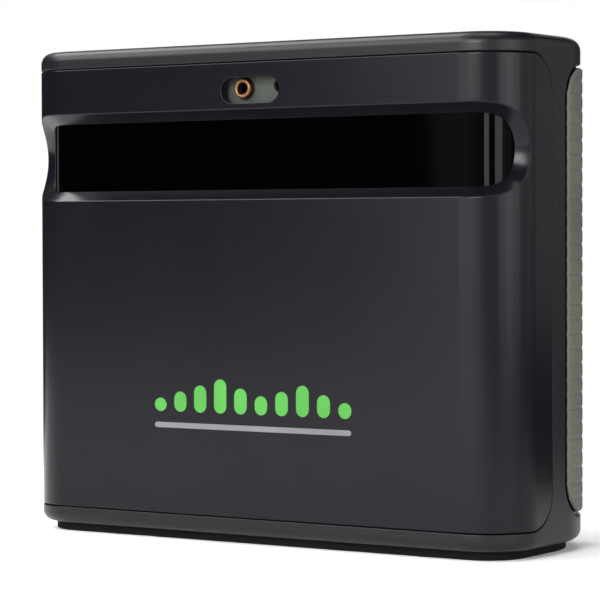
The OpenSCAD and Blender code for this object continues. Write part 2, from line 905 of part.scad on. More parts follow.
// Flat ribbon from a camera down to its socket on the main board
module camera_flex(side) {
    ribbon = 0.3;
    ribbon_w = 8;
    y0 = camera_board_y + camera_board_t + 0.1;
    tail_y = y0 - 0.08;
    tail_z = window_z - 6;
    edge_z = window_z - camera_board_h / 2 - 0.2;
    low_z = flex_socket_z + 0.8;
    socket_y = main_y - 2.5;
    color([0.8, 0.5, 0.15]) along_x(ribbon_w, side * camera_x - ribbon_w / 2) polygon([
        [y0, tail_z], [y0, low_z], [socket_y, low_z], [socket_y, low_z - ribbon],
        [y0 - ribbon, low_z - ribbon], [y0 - ribbon, edge_z], [tail_y, edge_z], [tail_y, tail_z]
    ]);
}

module flash_board() {
    color([0.9, 0.9, 0.88])
        slab_y(0, window_z, flash_w, flash_h, flash_board_y, flash_board_y + board_t);
}

// Emitters in two rows
module flash_leds() {
    color([0.95, 0.9, 0.5]) for (i = [0:led_cols - 1], j = [-0.5, 0.5])
        slab_y((i - (led_cols - 1) / 2) * led_pitch_x, window_z + j * led_pitch_z, led_side, led_side,
            flash_board_y - led_h, flash_board_y);
}

// Plate with one flared cup for each emitter
module flash_reflector() {
    depth = 3.4;
    cup_in = 5.2;
    cup_out = 8.9;
    y1 = flash_board_y - 0.1;
    color([0.8, 0.8, 0.82]) difference() {
        slab_y(0, window_z, flash_w - 2, flash_h - 1, y1 - depth, y1);
        for (i = [0:led_cols - 1], j = [-0.5, 0.5])
            translate([(i - (led_cols - 1) / 2) * led_pitch_x, y1 + 0.5, window_z + j * led_pitch_z])
                rotate([90, 0, 0]) cylinder(d1 = cup_in, d2 = cup_out, h = depth + cut, $fn = 2 * small_fn);
    }
}

// Finned block behind the flash lamp
module flash_heat_sink() {
    y0 = chassis_y + chassis_t + 0.1;
    fins = 9;
    pitch = 6;
    fin_t = 1.4;
    tall = 22;
    plate = [52, 2.5];
    foot = [36, 10];
    fins_y = y0 + plate[1] - eps;
    color([0.7, 0.7, 0.72]) {
        slab_y(0, window_z, plate[0], tall, y0, y0 + plate[1]);
        slab_y(0, window_z, foot[0], foot[1], flash_board_y + board_t + 0.1, y0 + eps);
        for (i = [0:fins - 1]) slab_y((i - (fins - 1) / 2) * pitch, window_z, fin_t, tall, fins_y, y0 + 11);
    }
}

// Turned barrel of the aiming laser
module laser_barrel() {
    mouth_deep = 0.6;
    color([0.75, 0.5, 0.25]) difference() {
        rod_y(laser_x, laser_barrel_z, laser_front_y, laser_front_y + laser_len, laser_d);
        rod_y(laser_x, laser_barrel_z, laser_front_y - cut, laser_front_y + laser_bore_len, laser_bore_d);
        translate([laser_x, laser_front_y + mouth_deep, laser_barrel_z]) rotate([90, 0, 0])
            cylinder(d1 = laser_bore_d, d2 = laser_mouth_d, h = mouth_deep + eps, $fn = round_fn);
    }
}

module laser_lens() {
    color([0.4, 0.05, 0.05, 0.7])
        rod_y(laser_x, laser_barrel_z, laser_front_y + 2, laser_front_y + laser_bore_len - eps,
            laser_bore_d - fit);
}

// Plate behind the opening, with legs back to the optics chassis
module laser_bracket() {
    plate_w = 30;
    low_z = window_z + flange_half + inner_gap;
    top_z = laser_z + 5.6;
    mid_z = (low_z + top_z) / 2;
    leg = 3;
    y1 = laser_plate_y + laser_plate_t;
    color([0.33, 0.36, 0.34]) difference() {
        union() {
            slab_y(0, mid_z, plate_w, top_z - low_z, laser_plate_y, y1);
            for (side = [-1, 1])
                slab_y(side * (plate_w - leg) / 2, mid_z, leg, top_z - low_z, y1 - eps, chassis_y - eps);
        }
        rod_y(laser_x, laser_barrel_z, laser_plate_y - cut, y1 + cut, laser_d + fit);
        rod_y(spare_hole_x, laser_z + spare_hole_rise, laser_plate_y - cut, y1 + cut, spare_hole_d);
    }
}

// ---------- fasteners of the case ----------

module case_screws() {
    color([0.3, 0.3, 0.31]) for (x = [-pillar_x, pillar_x], z = pillar_zs)
        difference() {
            union() {
                rod_y(x, z, screw_seat_y, screw_seat_y + screw_head_h, screw_head_d);
                rod_y(x, z, pillar_split_y - insert_len + 0.5, screw_seat_y + eps, screw_d);
            }
            rod_y(x, z, screw_seat_y + 1, screw_seat_y + screw_head_h + cut, screw_hex, 6);
        }
}

module case_inserts() {
    color([0.8, 0.65, 0.3]) for (x = [-pillar_x, pillar_x], z = pillar_zs)
        difference() {
            rod_y(x, z, pillar_split_y - insert_len, pillar_split_y - 2 * pillar_gap, insert_d);
            rod_y(x, z, pillar_split_y - insert_len - cut, pillar_split_y + cut, screw_d + fit);
        }
}

// ---------- levelling foot ----------

// Knurled wheel nut that turns on the stud
module levelling_wheel() {
    flute_d = 1.6;
    flute_out = 0.2;
    color([0.1, 0.1, 0.1]) difference() {
        translate([0, foot_y, wheel_z]) cylinder(d = wheel_d, h = wheel_t, $fn = 2 * round_fn);
        translate([0, foot_y, wheel_z - 1])
            cylinder(d = stud_d + 2 * stud_gap, h = wheel_t + 2, $fn = round_fn);
        for (i = [0:knurl_count - 1])
            translate([0, foot_y, wheel_z - cut]) rotate([0, 0, i * 360 / knurl_count])
                translate([wheel_d / 2 + flute_out, 0, 0])
                    cylinder(d = flute_d, h = wheel_t + 2 * cut, $fn = small_fn);
    }
}

module foot_stud() {
    color([0.7, 0.7, 0.72]) translate([0, foot_y, foot_low_z + foot_tip_h])
        cylinder(d = stud_d, h = stud_top_z - foot_low_z - foot_tip_h, $fn = round_fn);
}

// Square rubber foot that can't turn in its pocket
module foot_tip() {
    color([0.05, 0.05, 0.05]) translate([-foot_side / 2, foot_y - foot_side / 2, foot_low_z])
        cube([foot_side, foot_side, foot_tip_h - eps]);
}

// Bridge that keeps the wheel down and guides the stud
module foot_bridge() {
    color([0.2, 0.2, 0.21]) difference() {
        translate([-bridge_w / 2, foot_y - bridge_d / 2, bridge_z]) cube([bridge_w, bridge_d, bridge_t]);
        translate([0, foot_y, bridge_z - 1])
            cylinder(d = stud_d + 2 * inner_gap, h = bridge_t + 2, $fn = round_fn);
        for (x = [-bridge_screw_x, bridge_screw_x])
            translate([x, foot_y, bridge_z - 1]) cylinder(d = clear_d, h = bridge_t + 2, $fn = round_fn);
    }
}

module foot_bridge_screws() {
    thread_len = 5;
    color([0.7, 0.7, 0.72]) for (x = [-bridge_screw_x, bridge_screw_x]) {
        translate([x, foot_y, bridge_z + bridge_t]) cylinder(d = head_d, h = head_h, $fn = round_fn);
        translate([x, foot_y, bridge_z - thread_len])
            cylinder(d = thread_d, h = bridge_t + thread_len + eps, $fn = round_fn);
    }
}

front_shell();
rear_housing();
camera_window();
window_gasket();
seam_gasket();
side_grip_left();
side_grip_right();
base_pad();
rating_label();
power_button();
status_light_pipes();
usb_connector();
io_board();
tact_switch();
status_leds();
main_board();
board_chips();
shield_can();
board_sockets();
board_screws();
battery_cells();
battery_wrap();
battery_cradle();
battery_leads();
optics_chassis();
chassis_screws();
camera_board(-1);  // camera_board_left
camera_board(1);  // camera_board_right
lens_holder(-1);  // lens_holder_left
lens_holder(1);  // lens_holder_right
lens_barrel(-1);  // lens_barrel_left
lens_barrel(1);  // lens_barrel_right
lens_glass(-1);  // lens_glass_left
lens_glass(1);  // lens_glass_right
camera_flex(-1);  // camera_flex_left
camera_flex(1);  // camera_flex_right
flash_board();
flash_leds();
flash_reflector();
flash_heat_sink();
laser_barrel();
laser_lens();
laser_bracket();
case_screws();
case_inserts();
levelling_wheel();
foot_stud();
foot_tip();
foot_bridge();
foot_bridge_screws();
wifi_antenna();
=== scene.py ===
"""Looks of the launch monitor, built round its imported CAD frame.

Metres, +Z up; the front face looks towards -Y.
"""
import json
import math

import bpy
from mathutils import Matrix, Vector
from mathutils.geometry import delaunay_2d_cdt


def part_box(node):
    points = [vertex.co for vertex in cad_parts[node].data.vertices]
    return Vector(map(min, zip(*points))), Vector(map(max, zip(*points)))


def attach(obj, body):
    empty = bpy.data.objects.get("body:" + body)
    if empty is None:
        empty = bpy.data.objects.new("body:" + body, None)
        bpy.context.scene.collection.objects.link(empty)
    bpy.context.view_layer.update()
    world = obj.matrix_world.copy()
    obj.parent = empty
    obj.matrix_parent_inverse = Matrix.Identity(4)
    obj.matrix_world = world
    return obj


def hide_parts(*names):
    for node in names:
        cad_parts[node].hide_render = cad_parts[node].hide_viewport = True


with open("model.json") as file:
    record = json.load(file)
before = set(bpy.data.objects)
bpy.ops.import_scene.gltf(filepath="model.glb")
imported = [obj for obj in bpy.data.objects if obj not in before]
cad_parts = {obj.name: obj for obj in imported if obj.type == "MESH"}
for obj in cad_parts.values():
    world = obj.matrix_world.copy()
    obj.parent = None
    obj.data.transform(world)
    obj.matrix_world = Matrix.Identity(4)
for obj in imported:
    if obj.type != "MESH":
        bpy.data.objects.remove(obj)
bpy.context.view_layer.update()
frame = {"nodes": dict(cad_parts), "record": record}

MM = 0.001


# ---------- places and sizes from the frame ----------

def low(node):
    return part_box(node)[0]


def high(node):
    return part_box(node)[1]


def middle(node):
    lo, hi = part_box(node)
    return (Vector(lo) + Vector(hi)) / 2


FRONT = low("rear_housing")[1]
BACK = high("rear_housing")[1]
SIDE = high("rear_housing")[0]
BOTTOM = low("rear_housing")[2]
TOP = high("rear_housing")[2]
SEAM_LOW = low("front_shell")[2]
SEAM_TOP = high("front_shell")[2]
WINDOW_Z = middle("camera_window")[2]
LASER_Z = 132 * MM
WALL = 2.4 * MM
FRONT_R = 16 * MM
REAR_R = 29 * MM
TOP_ROUND = 3.5 * MM
BOTTOM_ROUND = 3 * MM
SEAM_BACK = 24.8 * MM
SEAM_R = 11 * MM
SEAM_GAP = 0.3 * MM
RECESS_HALF = 13.1 * MM
RECESS_DEPTH = 4 * MM
LASER_SLOT_W = 20.2 * MM
LASER_SLOT_H = 7.5 * MM
GRIP_PROUD = 0.6 * MM


# ---------- outline of the case ----------
# s runs along the outer surface in plan: 0 at the middle of the front, growing towards +X and then
# round the back.

FLAT_FRONT = SIDE - FRONT_R
FLAT_SIDE = (BACK - REAR_R) - (FRONT + FRONT_R)
FLAT_BACK = SIDE - REAR_R
S_CORNER = FLAT_FRONT
S_SIDE = S_CORNER + FRONT_R * math.pi / 2
S_REAR = S_SIDE + FLAT_SIDE
S_BACK = S_REAR + REAR_R * math.pi / 2
S_HALF = S_BACK + FLAT_BACK


def on_case(s):
    """Point in plan and outward normal at s."""
    s = (s + S_HALF) % (2 * S_HALF) - S_HALF
    side = -1 if s < 0 else 1
    s = abs(s)
    if s <= S_CORNER:
        p, n = (s, FRONT), (0, -1)
    elif s <= S_SIDE:
        a = (s - S_CORNER) / FRONT_R
        n = (math.sin(a), -math.cos(a))
        p = (FLAT_FRONT + FRONT_R * n[0], FRONT + FRONT_R + FRONT_R * n[1])
    elif s <= S_REAR:
        p, n = (SIDE, FRONT + FRONT_R + s - S_SIDE), (1, 0)
    elif s <= S_BACK:
        a = (s - S_REAR) / REAR_R
        n = (math.cos(a), math.sin(a))
        p = (FLAT_BACK + REAR_R * n[0], BACK - REAR_R + REAR_R * n[1])
    else:
        p, n = (S_HALF - s, BACK), (0, 1)
    return side * p[0], p[1], side * n[0], n[1]


def wrap(point):
    """Point of the case from (s, z, height above the outer surface)."""
    x, y, nx, ny = on_case(point[0])
    return Vector((x + nx * point[2], y + ny * point[2], point[1]))


def wrap_normal(point, normal):
    """Normal of the case from a normal in (s, z, height)."""
    _, _, nx, ny = on_case(point[0])
    along, upward, outward = normal
    return Vector((-ny * along + nx * outward, nx * along + ny * outward, upward)).normalized()


def s_behind(distance):
    """s of the right-hand point that lies this far behind the front face."""
    if distance <= FRONT_R:
        return S_CORNER + FRONT_R * math.acos(1 - distance / FRONT_R)
    return S_SIDE + distance - FRONT_R


# ---------- mesh building ----------

GRID = 4 * MM  # distance between the inner points of large faces
FILL_CELL = 0.9 * MM  # an inner point is left out where its cell holds a point of a loop
WELD_CELLS = 1e7  # per metre: corners in one cell become one vertex
BEND_STEP, FLAT_STEP = 1.2 * MM, 5 * MM  # steps of s round a corner and along a flat
CORNER_STEPS = 24
LEAST_POINTS = 16


class Shape:
    """Faces with a normal for each corner, welded by position."""

    def __init__(self):
        self.points, self.index, self.faces, self.normals, self.slots = [], {}, [], [], []

    def vertex(self, p):
        key = tuple(round(v * WELD_CELLS) for v in p)
        if key not in self.index:
            self.index[key] = len(self.points)
            self.points.append(tuple(p))
        return self.index[key]

    def face(self, points, normals, slot=0):
        ids, kept = [], []
        for p, n in zip(points, normals):
            i = self.vertex(p)
            if i not in ids:
                ids.append(i)
                kept.append(n)
        if len(ids) > 2:
            self.faces.append(ids)
            self.normals.append(kept)
            self.slots.append(slot)

    def build(self, name, materials):
        mesh = bpy.data.meshes.new(name)
        mesh.from_pydata(self.points, [], self.faces)
        for m in materials:
            mesh.materials.append(m)
        mesh.polygons.foreach_set("material_index", self.slots)
        mesh.polygons.foreach_set("use_smooth", [True] * len(self.faces))
        mesh.normals_split_custom_set([n for f in self.normals for n in f])
        mesh.update()
        obj = bpy.data.objects.new(name, mesh)
        bpy.context.scene.collection.objects.link(obj)
        return obj


def resample(points, spacing):
    """Closed loop of evenly spaced points with their outward normals, from a dense closed loop."""
    count = len(points)
    steps = [math.dist(points[i], points[(i + 1) % count]) for i in range(count)]
    total = sum(steps)
    wanted = max(LEAST_POINTS, 4 * round(total / spacing / 4))
    result, i, passed = [], 0, 0.0
    for k in range(wanted):
        target = total * k / wanted
        while passed + steps[i] < target:
            passed += steps[i]
            i += 1
        t = (target - passed) / steps[i] if steps[i] else 0
        a, b = points[i], points[(i + 1) % count]
        result.append((a[0] + (b[0] - a[0]) * t, a[1] + (b[1] - a[1]) * t))
    return with_normals(result)


def with_normals(points):
    """(u, v, nu, nv) for each point of a closed loop that runs counter-clockwise."""
    count = len(points)
    loop = []
    for k in range(count):
        a, b = points[k - 1], points[(k + 1) % count]
        d = math.dist(a, b) or 1
        loop.append((points[k][0], points[k][1], (b[1] - a[1]) / d, -(b[0] - a[0]) / d))
    return loop


def rounded_rectangle(u0, u1, v0, v1, r, spacing, radii=None):
    """Counter-clockwise loop; radii may give one radius for each corner, from the lower right."""
    radii = radii or [r] * 4
    corners = [(u1, v0, -90), (u1, v1, 0), (u0, v1, 90), (u0, v0, 180)]
    points = []
    for (u, v, a0), q in zip(corners, radii):
        cu = u - q if u == u1 else u + q
        cv = v - q if v == v1 else v + q
        for i in range(CORNER_STEPS + 1):
            a = math.radians(a0 + 90 * i / CORNER_STEPS)
            points.append((cu + q * math.cos(a), cv + q * math.sin(a)))
    return resample(points, spacing)


def disc(u, v, r, count=40):
    turns = [2 * math.pi * i / count for i in range(count)]
    return [(u + r * math.cos(a), v + r * math.sin(a), math.cos(a), math.sin(a)) for a in turns]


def offset(loop, distance):
    return [(u + nu * distance, v + nv * distance) for u, v, nu, nv in loop]


def smooth_profile(profile):
    """Normal at each point of an (offset, height) line, with the solid on its right."""
    normals = []
    for i in range(len(profile)):
        a, b = profile[max(i - 1, 0)], profile[min(i + 1, len(profile) - 1)]
        d = math.dist(a, b) or 1
        normals.append((-(b[1] - a[1]) / d, (b[0] - a[0]) / d))
    return normals


def strips(shape, loop, profile, place=wrap, place_normal=wrap_normal, hole=True, slot=0, normals=None):
    """Sweeps an (offset, height) line round a loop. The offset grows away from the loop's inside.
    A hole's line starts out on the surface and goes in and down; a boss's line starts inside it."""
    normals = normals or smooth_profile(profile)
    flip = -1 if hole else 1
    count = len(loop)
    rings, ring_normals = [], []
    for (o, h), (no, nh) in zip(profile, normals):
        rings.append([(u + nu * o, v + nv * o, h) for u, v, nu, nv in loop])
        ring_normals.append([(nu * no * flip, nv * no * flip, nh * flip) for u, v, nu, nv in loop])
    for k in range(len(profile) - 1):
        for i in range(count):
            j = (i + 1) % count
            quad = [(k, i), (k, j), (k + 1, j), (k + 1, i)]
            if not hole:
                quad.reverse()
            points = [rings[a][b] for a, b in quad]
            bent = [place_normal(rings[a][b], ring_normals[a][b]) for a, b in quad]
            shape.face([place(p) for p in points], bent, slot)


def inside(point, polygon):
    x, y = point
    result = False
    for i in range(len(polygon)):
        (x0, y0), (x1, y1) = polygon[i - 1], polygon[i]
        if (y0 > y) != (y1 > y) and x < (x1 - x0) * (y - y0) / (y1 - y0) + x0:
            result = not result
    return result


def span(values):
    return min(values), max(values)


def fill(shape, outer, holes, height, place=wrap, place_normal=wrap_normal, grid=(), up=1):
    """Triangles between an outer loop and its holes, with grid points inside, at one height."""
    loops = [outer] + holes
    points, edges = [], []
    for loop in loops:
        start = len(points)
        points += loop
        edges += [(start + i, start + (i + 1) % len(loop)) for i in range(len(loop))]
    boxes = [span([p[0] for p in h]) + span([p[1] for p in h]) for h in holes]

    def wanted(p):
        if not inside(p, outer):
            return False
        for h, (a, b, c, d) in zip(holes, boxes):
            if a <= p[0] <= b and c <= p[1] <= d and inside(p, h):
                return False
        return True

    near = {(round(u / FILL_CELL), round(v / FILL_CELL)) for u, v in points}
    for u, v in grid:
        key = (round(u / FILL_CELL), round(v / FILL_CELL))
        if key not in near and wanted((u, v)):
            points.append((u, v))
    scaled = [Vector((u / MM, v / MM)) for u, v in points]
    verts, _, faces, source, _, _ = delaunay_2d_cdt(scaled, edges, [], 0, 1e-6)
    exact = [points[ids[0]] if ids else (v[0] * MM, v[1] * MM) for v, ids in zip(verts, source)]
    for f in faces:
        tri = [exact[i] for i in f]
        (u0, v0), (u1, v1), (u2, v2) = tri
        if not wanted(((u0 + u1 + u2) / 3, (v0 + v1 + v2) / 3)):
            continue
        if (u1 - u0) * (v2 - v0) < (u2 - u0) * (v1 - v0):
            tri.reverse()
        if up < 0:
            tri.reverse()
        solid = [(u, v, height) for u, v in tri]
        shape.face([place(p) for p in solid], [place_normal(p, (0, 0, up)) for p in solid])


def spaced(a, b, step):
    count = max(1, round(abs(b - a) / step))
    return [a + (b - a) * i / count for i in range(count + 1)]


def case_stations(s0, s1):
    """Values of s that follow the corners closely and the flats loosely."""
    marks = [-S_HALF, -S_BACK, -S_REAR, -S_SIDE, -S_CORNER, S_CORNER, S_SIDE, S_REAR, S_BACK]
    marks += [m + 2 * S_HALF for m in marks]
    cuts = [s0] + [m for m in marks if s0 + MM < m < s1 - MM] + [s1]
    stations = []
    for a, b in zip(cuts, cuts[1:]):
        n0, n1 = on_case(a + (b - a) * 0.01)[2:], on_case(a + (b - a) * 0.99)[2:]
        turning = abs(n0[0] - n1[0]) + abs(n0[1] - n1[1]) > 0.05
        stations += spaced(a, b, BEND_STEP if turning else FLAT_STEP)[:-1]
    return stations + [s1]


def grid_points(s0, s1, z0, z1, step):
    inner = case_stations(s0, s1)[1:-1]
    levels = spaced(z0, z1, step)[1:-1]
    return [(s, z) for s in inner for z in levels]


# ---------- materials ----------

NOISE_LOW, NOISE_HIGH = 0.3, 0.7  # where most of a noise texture's values lie
PATCH_SCALE, PATCH_DETAIL = 45.0, 4.0
GRAIN_DETAIL = 2.0
PLASTIC_GLOSS = (0.85, 1.15)  # least and most roughness, as shares of the middle one
METAL_SCALE, METAL_DETAIL, METAL_RELIEF = 600.0, 3.0, 0.000004
METAL_SHADES = (0.85, 1.1)
METAL_GLOSS = (0.8, 1.25)


def principled(name, color, roughness, metallic=0.0, specular=0.5):
    mat = bpy.data.materials.new(name)
    mat.use_nodes = True
    bsdf = mat.node_tree.nodes["Principled BSDF"]
    bsdf.inputs["Base Color"].default_value = (*color, 1)
    bsdf.inputs["Roughness"].default_value = roughness
    bsdf.inputs["Metallic"].default_value = metallic
    bsdf.inputs["Specular IOR Level"].default_value = specular
    return mat, bsdf


def add_node(mat, kind, **values):
    node = mat.node_tree.nodes.new(kind)
    for key, value in values.items():
        if key in node.inputs:
            node.inputs[key].default_value = value
        else:
            setattr(node, key, value)
    return node


def join(mat, a, b):
    mat.node_tree.links.new(a, b)


def noise(mat, scale, detail, stretch=(1, 1, 1)):
    coords = add_node(mat, "ShaderNodeTexCoord")
    mapping = add_node(mat, "ShaderNodeMapping")
    mapping.inputs["Scale"].default_value = stretch
    texture = add_node(mat, "ShaderNodeTexNoise", Scale=scale, Detail=detail)
    join(mat, coords.outputs["Object"], mapping.inputs["Vector"])
    join(mat, mapping.outputs["Vector"], texture.inputs["Vector"])
    return texture


def ranged(mat, source, low_value, high_value):
    """Noise stretched so that it runs from the low to the high value."""
    node = add_node(mat, "ShaderNodeMapRange")
    node.inputs["From Min"].default_value = NOISE_LOW
    node.inputs["From Max"].default_value = NOISE_HIGH
    node.inputs["To Min"].default_value = low_value
    node.inputs["To Max"].default_value = high_value
    join(mat, source, node.inputs["Value"])
    return node.outputs["Result"]


def vary_color(mat, bsdf, source, dark, light):
    ramp = add_node(mat, "ShaderNodeValToRGB")
    ramp.color_ramp.elements[0].position = NOISE_LOW
    ramp.color_ramp.elements[1].position = NOISE_HIGH
    ramp.color_ramp.elements[0].color = (*dark, 1)
    ramp.color_ramp.elements[1].color = (*light, 1)
    join(mat, source, ramp.inputs["Fac"])
    join(mat, ramp.outputs["Color"], bsdf.inputs["Base Color"])


def bump(mat, bsdf, source, distance):
    node = add_node(mat, "ShaderNodeBump", Strength=1.0, Distance=distance)
    join(mat, source, node.inputs["Height"])
    join(mat, node.outputs["Normal"], bsdf.inputs["Normal"])


def moulded(name, color, roughness, grain, depth, specular=0.5, spread=0.12):
    """Moulded plastic or rubber: slow patches in colour, fine grain in gloss and relief."""
    mat, bsdf = principled(name, color, roughness, specular=specular)
    patches = noise(mat, PATCH_SCALE, PATCH_DETAIL)
    dark = [c * (1 - spread) for c in color]
    light = [c * (1 + spread) for c in color]
    vary_color(mat, bsdf, patches.outputs["Fac"], dark, light)
    fine = noise(mat, grain, GRAIN_DETAIL).outputs["Fac"]
    least, most = (share * roughness for share in PLASTIC_GLOSS)
    join(mat, ranged(mat, fine, least, most), bsdf.inputs["Roughness"])
    bump(mat, bsdf, fine, depth)
    return mat


def metal(name, color, roughness, stretch):
    """Turned or rolled metal with fine lines along one direction."""
    mat, bsdf = principled(name, color, roughness, metallic=1.0)
    lines = noise(mat, METAL_SCALE, METAL_DETAIL, stretch).outputs["Fac"]
    dark, light = ([min(1, c * share) for c in color] for share in METAL_SHADES)
    vary_color(mat, bsdf, lines, dark, light)
    least, most = (roughness * share for share in METAL_GLOSS)
    join(mat, ranged(mat, lines, least, most), bsdf.inputs["Roughness"])
    bump(mat, bsdf, lines, METAL_RELIEF)
    return mat


# ---------- profiles ----------

def rounded_line(points, radii, steps=4):
    """Polyline with each inner corner rounded by its radius."""
    line = [points[0]]
    for i in range(1, len(points) - 1):
        a, b, c = Vector(points[i - 1]), Vector(points[i]), Vector(points[i + 1])
        back, ahead = (a - b).normalized(), (c - b).normalized()
        turn = math.pi - back.angle(ahead)
        reach = radii[i - 1] * math.tan(turn / 2)
        reach = min(reach, (a - b).length * 0.49, (c - b).length * 0.49)
        start, end = b + back * reach, b + ahead * reach
        for k in range(steps + 1):
            t = k / steps
            p = start * (1 - t) ** 2 + b * 2 * t * (1 - t) + end * t ** 2
            line.append((p.x, p.y))
    line.append(points[-1])
    return line


def hole_edge(depth, r=0.3 * MM):
    """Rounded mouth and a straight wall down to depth."""
    return rounded_line([(2 * r, 0), (0, 0), (0, -depth)], [r])


def boss_edge(depth, r=0.3 * MM, top=0.0):
    return rounded_line([(-2 * r, top), (0, top), (0, top - depth)], [r])


# ---------- front panel ----------

S_SEAM = s_behind(SEAM_BACK)
SEAM_EDGE = 0.35 * MM
FLANGE = 0.8 * MM
SLOPE = 0.75
SEAM_STEP = 1.2 * MM
RECESS_STEP = 0.8 * MM
RECESS_ARC_STEPS = 720
LASER_EDGE, LASER_STEP = 0.22 * MM, 0.5 * MM
INLAY_GAP = 0.02 * MM


def panel_outline(grow):
    return rounded_rectangle(-S_SEAM - grow, S_SEAM + grow, SEAM_LOW - grow, SEAM_TOP + grow,
                             SEAM_R + grow, SEAM_STEP)


def recess_outline():
    """Outer edge of the window recess: straight along the front, and a round end, seen from the side,
    on each corner."""
    right = []
    for i in range(RECESS_ARC_STEPS + 1):
        t = math.radians(-90 + 180 * i / RECESS_ARC_STEPS)
        right.append((s_behind(RECESS_HALF * math.cos(t)), WINDOW_Z + RECESS_HALF * math.sin(t)))
    left = [(-s, 2 * WINDOW_Z - z) for s, z in right]
    return resample(right + left, RECESS_STEP)


def laser_outline():
    half_w, half_h = LASER_SLOT_W / 2, LASER_SLOT_H / 2
    return rounded_rectangle(-half_w, half_w, LASER_Z - half_h, LASER_Z + half_h, half_h, LASER_STEP)


def make_front_shell(mat):
    shape = Shape()
    outline, recess, laser = panel_outline(0), recess_outline(), laser_outline()
    edge = boss_edge(WALL, SEAM_EDGE)
    bevel = rounded_line([(0.8 * MM, 0), (0, 0), (-SLOPE * RECESS_DEPTH, -RECESS_DEPTH),
                          (FLANGE, -RECESS_DEPTH), (FLANGE, -WALL)], [0.5 * MM, 0.12 * MM, 0.1 * MM])
    mouth = hole_edge(WALL, LASER_EDGE)
    strips(shape, outline, edge, hole=False)
    strips(shape, recess, bevel)
    strips(shape, laser, mouth)
    grid = grid_points(-S_SEAM, S_SEAM, SEAM_LOW, SEAM_TOP, GRID)
    holes = [offset(recess, bevel[0][0]), offset(laser, mouth[0][0])]
    for loop in bar_loops() + [line_loop()]:
        strips(shape, loop, [(INLAY_GAP, 0), (INLAY_GAP, -INLAY)], normals=[(-1, 0), (-1, 0)])
        holes.append(offset(loop, INLAY_GAP))
        fill(shape, offset(loop, INLAY_GAP), [], -INLAY)
    fill(shape, offset(outline, edge[0][0]), holes, 0, grid=grid)
    fill(shape, offset(outline, 0), [offset(recess, FLANGE), offset(laser, 0)], -WALL, grid=grid, up=-1)
    return shape.build("front_shell_skin", [mat])


# ---------- rear housing ----------

S_CUT = -107.5 * MM  # where the unrolled housing is cut and welded again
ROUND_STEPS = 7
LEDGE_R = 0.1 * MM
GRIP_GAP = 1.1 * MM
GRIP_FRONT = s_behind(33.7 * MM)
GRIP_BACK = S_REAR + REAR_R * math.radians(68)
GRIP_LOW = low("side_grip_right")[2]
GRIP_TOP = high("side_grip_right")[2]
GRIP_R = 9.5 * MM
GRIP_REAR_R = 4 * MM
GRIP_SEAT = 1.2 * MM


def back_s(x):
    return S_HALF - x


def grip_outline(grow, mirrored):
    """Loop round a grip; the rear corners are tighter than the front ones."""
    radii = [GRIP_REAR_R + grow, GRIP_REAR_R + grow, GRIP_R + grow, GRIP_R + grow]
    s0, s1 = GRIP_FRONT - grow, GRIP_BACK + grow
    if mirrored:
        s0, s1 = 2 * S_HALF - s1, 2 * S_HALF - s0
        radii = radii[2:] + radii[:2]
    return rounded_rectangle(s0, s1, GRIP_LOW - grow, GRIP_TOP + grow, 0, MM, radii)


def underside(point):
    """Places (x, -y, height) on a face that looks down; the height grows downwards from Z = 0."""
    return Vector((point[0], -point[1], -point[2]))


def underside_normal(point, normal):
    return Vector((normal[0], -normal[1], -normal[2]))


def plan_loop(inset):
    """Case outline seen from below as (x, -y) points, counter-clockwise there."""
    points = [wrap((s, 0, -inset)) for s in case_stations(S_CUT, S_CUT + 2 * S_HALF)[:-1]]
    return [(p.x, -p.y) for p in reversed(points)]


def box_round(u, v, half_u, half_v, r, spacing):
    """Rounded rectangle round a centre."""
    return rounded_rectangle(u - half_u, u + half_u, v - half_v, v + half_v, r, spacing)


def foot_pocket():
    centre = middle("foot_tip")
    half = 6.9 * MM
    return box_round(centre.x, -centre.y, half, half, 0.8 * MM, 0.5 * MM)


def screw_wells():
    lo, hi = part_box("case_screws")
    head_r, well_r, clear = 2.8 * MM, 3.3 * MM, 0.45 * MM
    ledge = -1.6 * MM
    seat, end = BACK - 27 * MM, BACK - 0.1 * MM
    well = rounded_line([(0.6 * MM, 0), (0, 0), (0, -seat), (ledge, -seat), (ledge, -end), (clear, -end),
                         (clear, -WALL)], [0.3 * MM] + [LEDGE_R] * 4)
    return [(disc(back_s(x), z, well_r), well, clear, None)
            for x in (lo[0] + head_r, hi[0] - head_r) for z in (lo[2] + head_r, hi[2] - head_r)]


def button_dish():
    button = middle("power_button")
    ledge, depth = -2.2 * MM, -1 * MM
    dish = rounded_line([(1.2 * MM, 0), (0, 0), (0, depth), (ledge, depth), (ledge, -WALL)],
                        [0.6 * MM, 0.4 * MM, 0.3 * MM])
    return [(disc(back_s(button.x), button.z, 8 * MM, 96), dish, ledge, None)]


def light_holes():
    pipes = middle("status_light_pipes")
    pitch, r = 6 * MM, 1.35 * MM
    return [(disc(back_s(pipes.x + i * pitch), pipes.z, r), hole_edge(WALL, 0.15 * MM), 0, None)
            for i in (-1, 0, 1)]


def socket_mouth():
    usb = middle("usb_connector")
    ledge, depth = -1.9 * MM, -1.2 * MM
    mouth = box_round(back_s(usb.x), usb.z, 6 * MM, 3.5 * MM, 2.3 * MM, 0.5 * MM)
    step = rounded_line([(0.6 * MM, 0), (0, 0), (0, depth), (ledge, depth), (ledge, -WALL)],
                        [0.3 * MM, 0.2 * MM, 0.15 * MM])
    return [(mouth, step, ledge, None)]


def wheel_slot():
    wheel = middle("levelling_wheel")
    slot = box_round(back_s(wheel.x), wheel.z, 11.5 * MM, 3.1 * MM, MM, 0.6 * MM)
    return [(slot, hole_edge(WALL, 0.2 * MM), 0, None)]


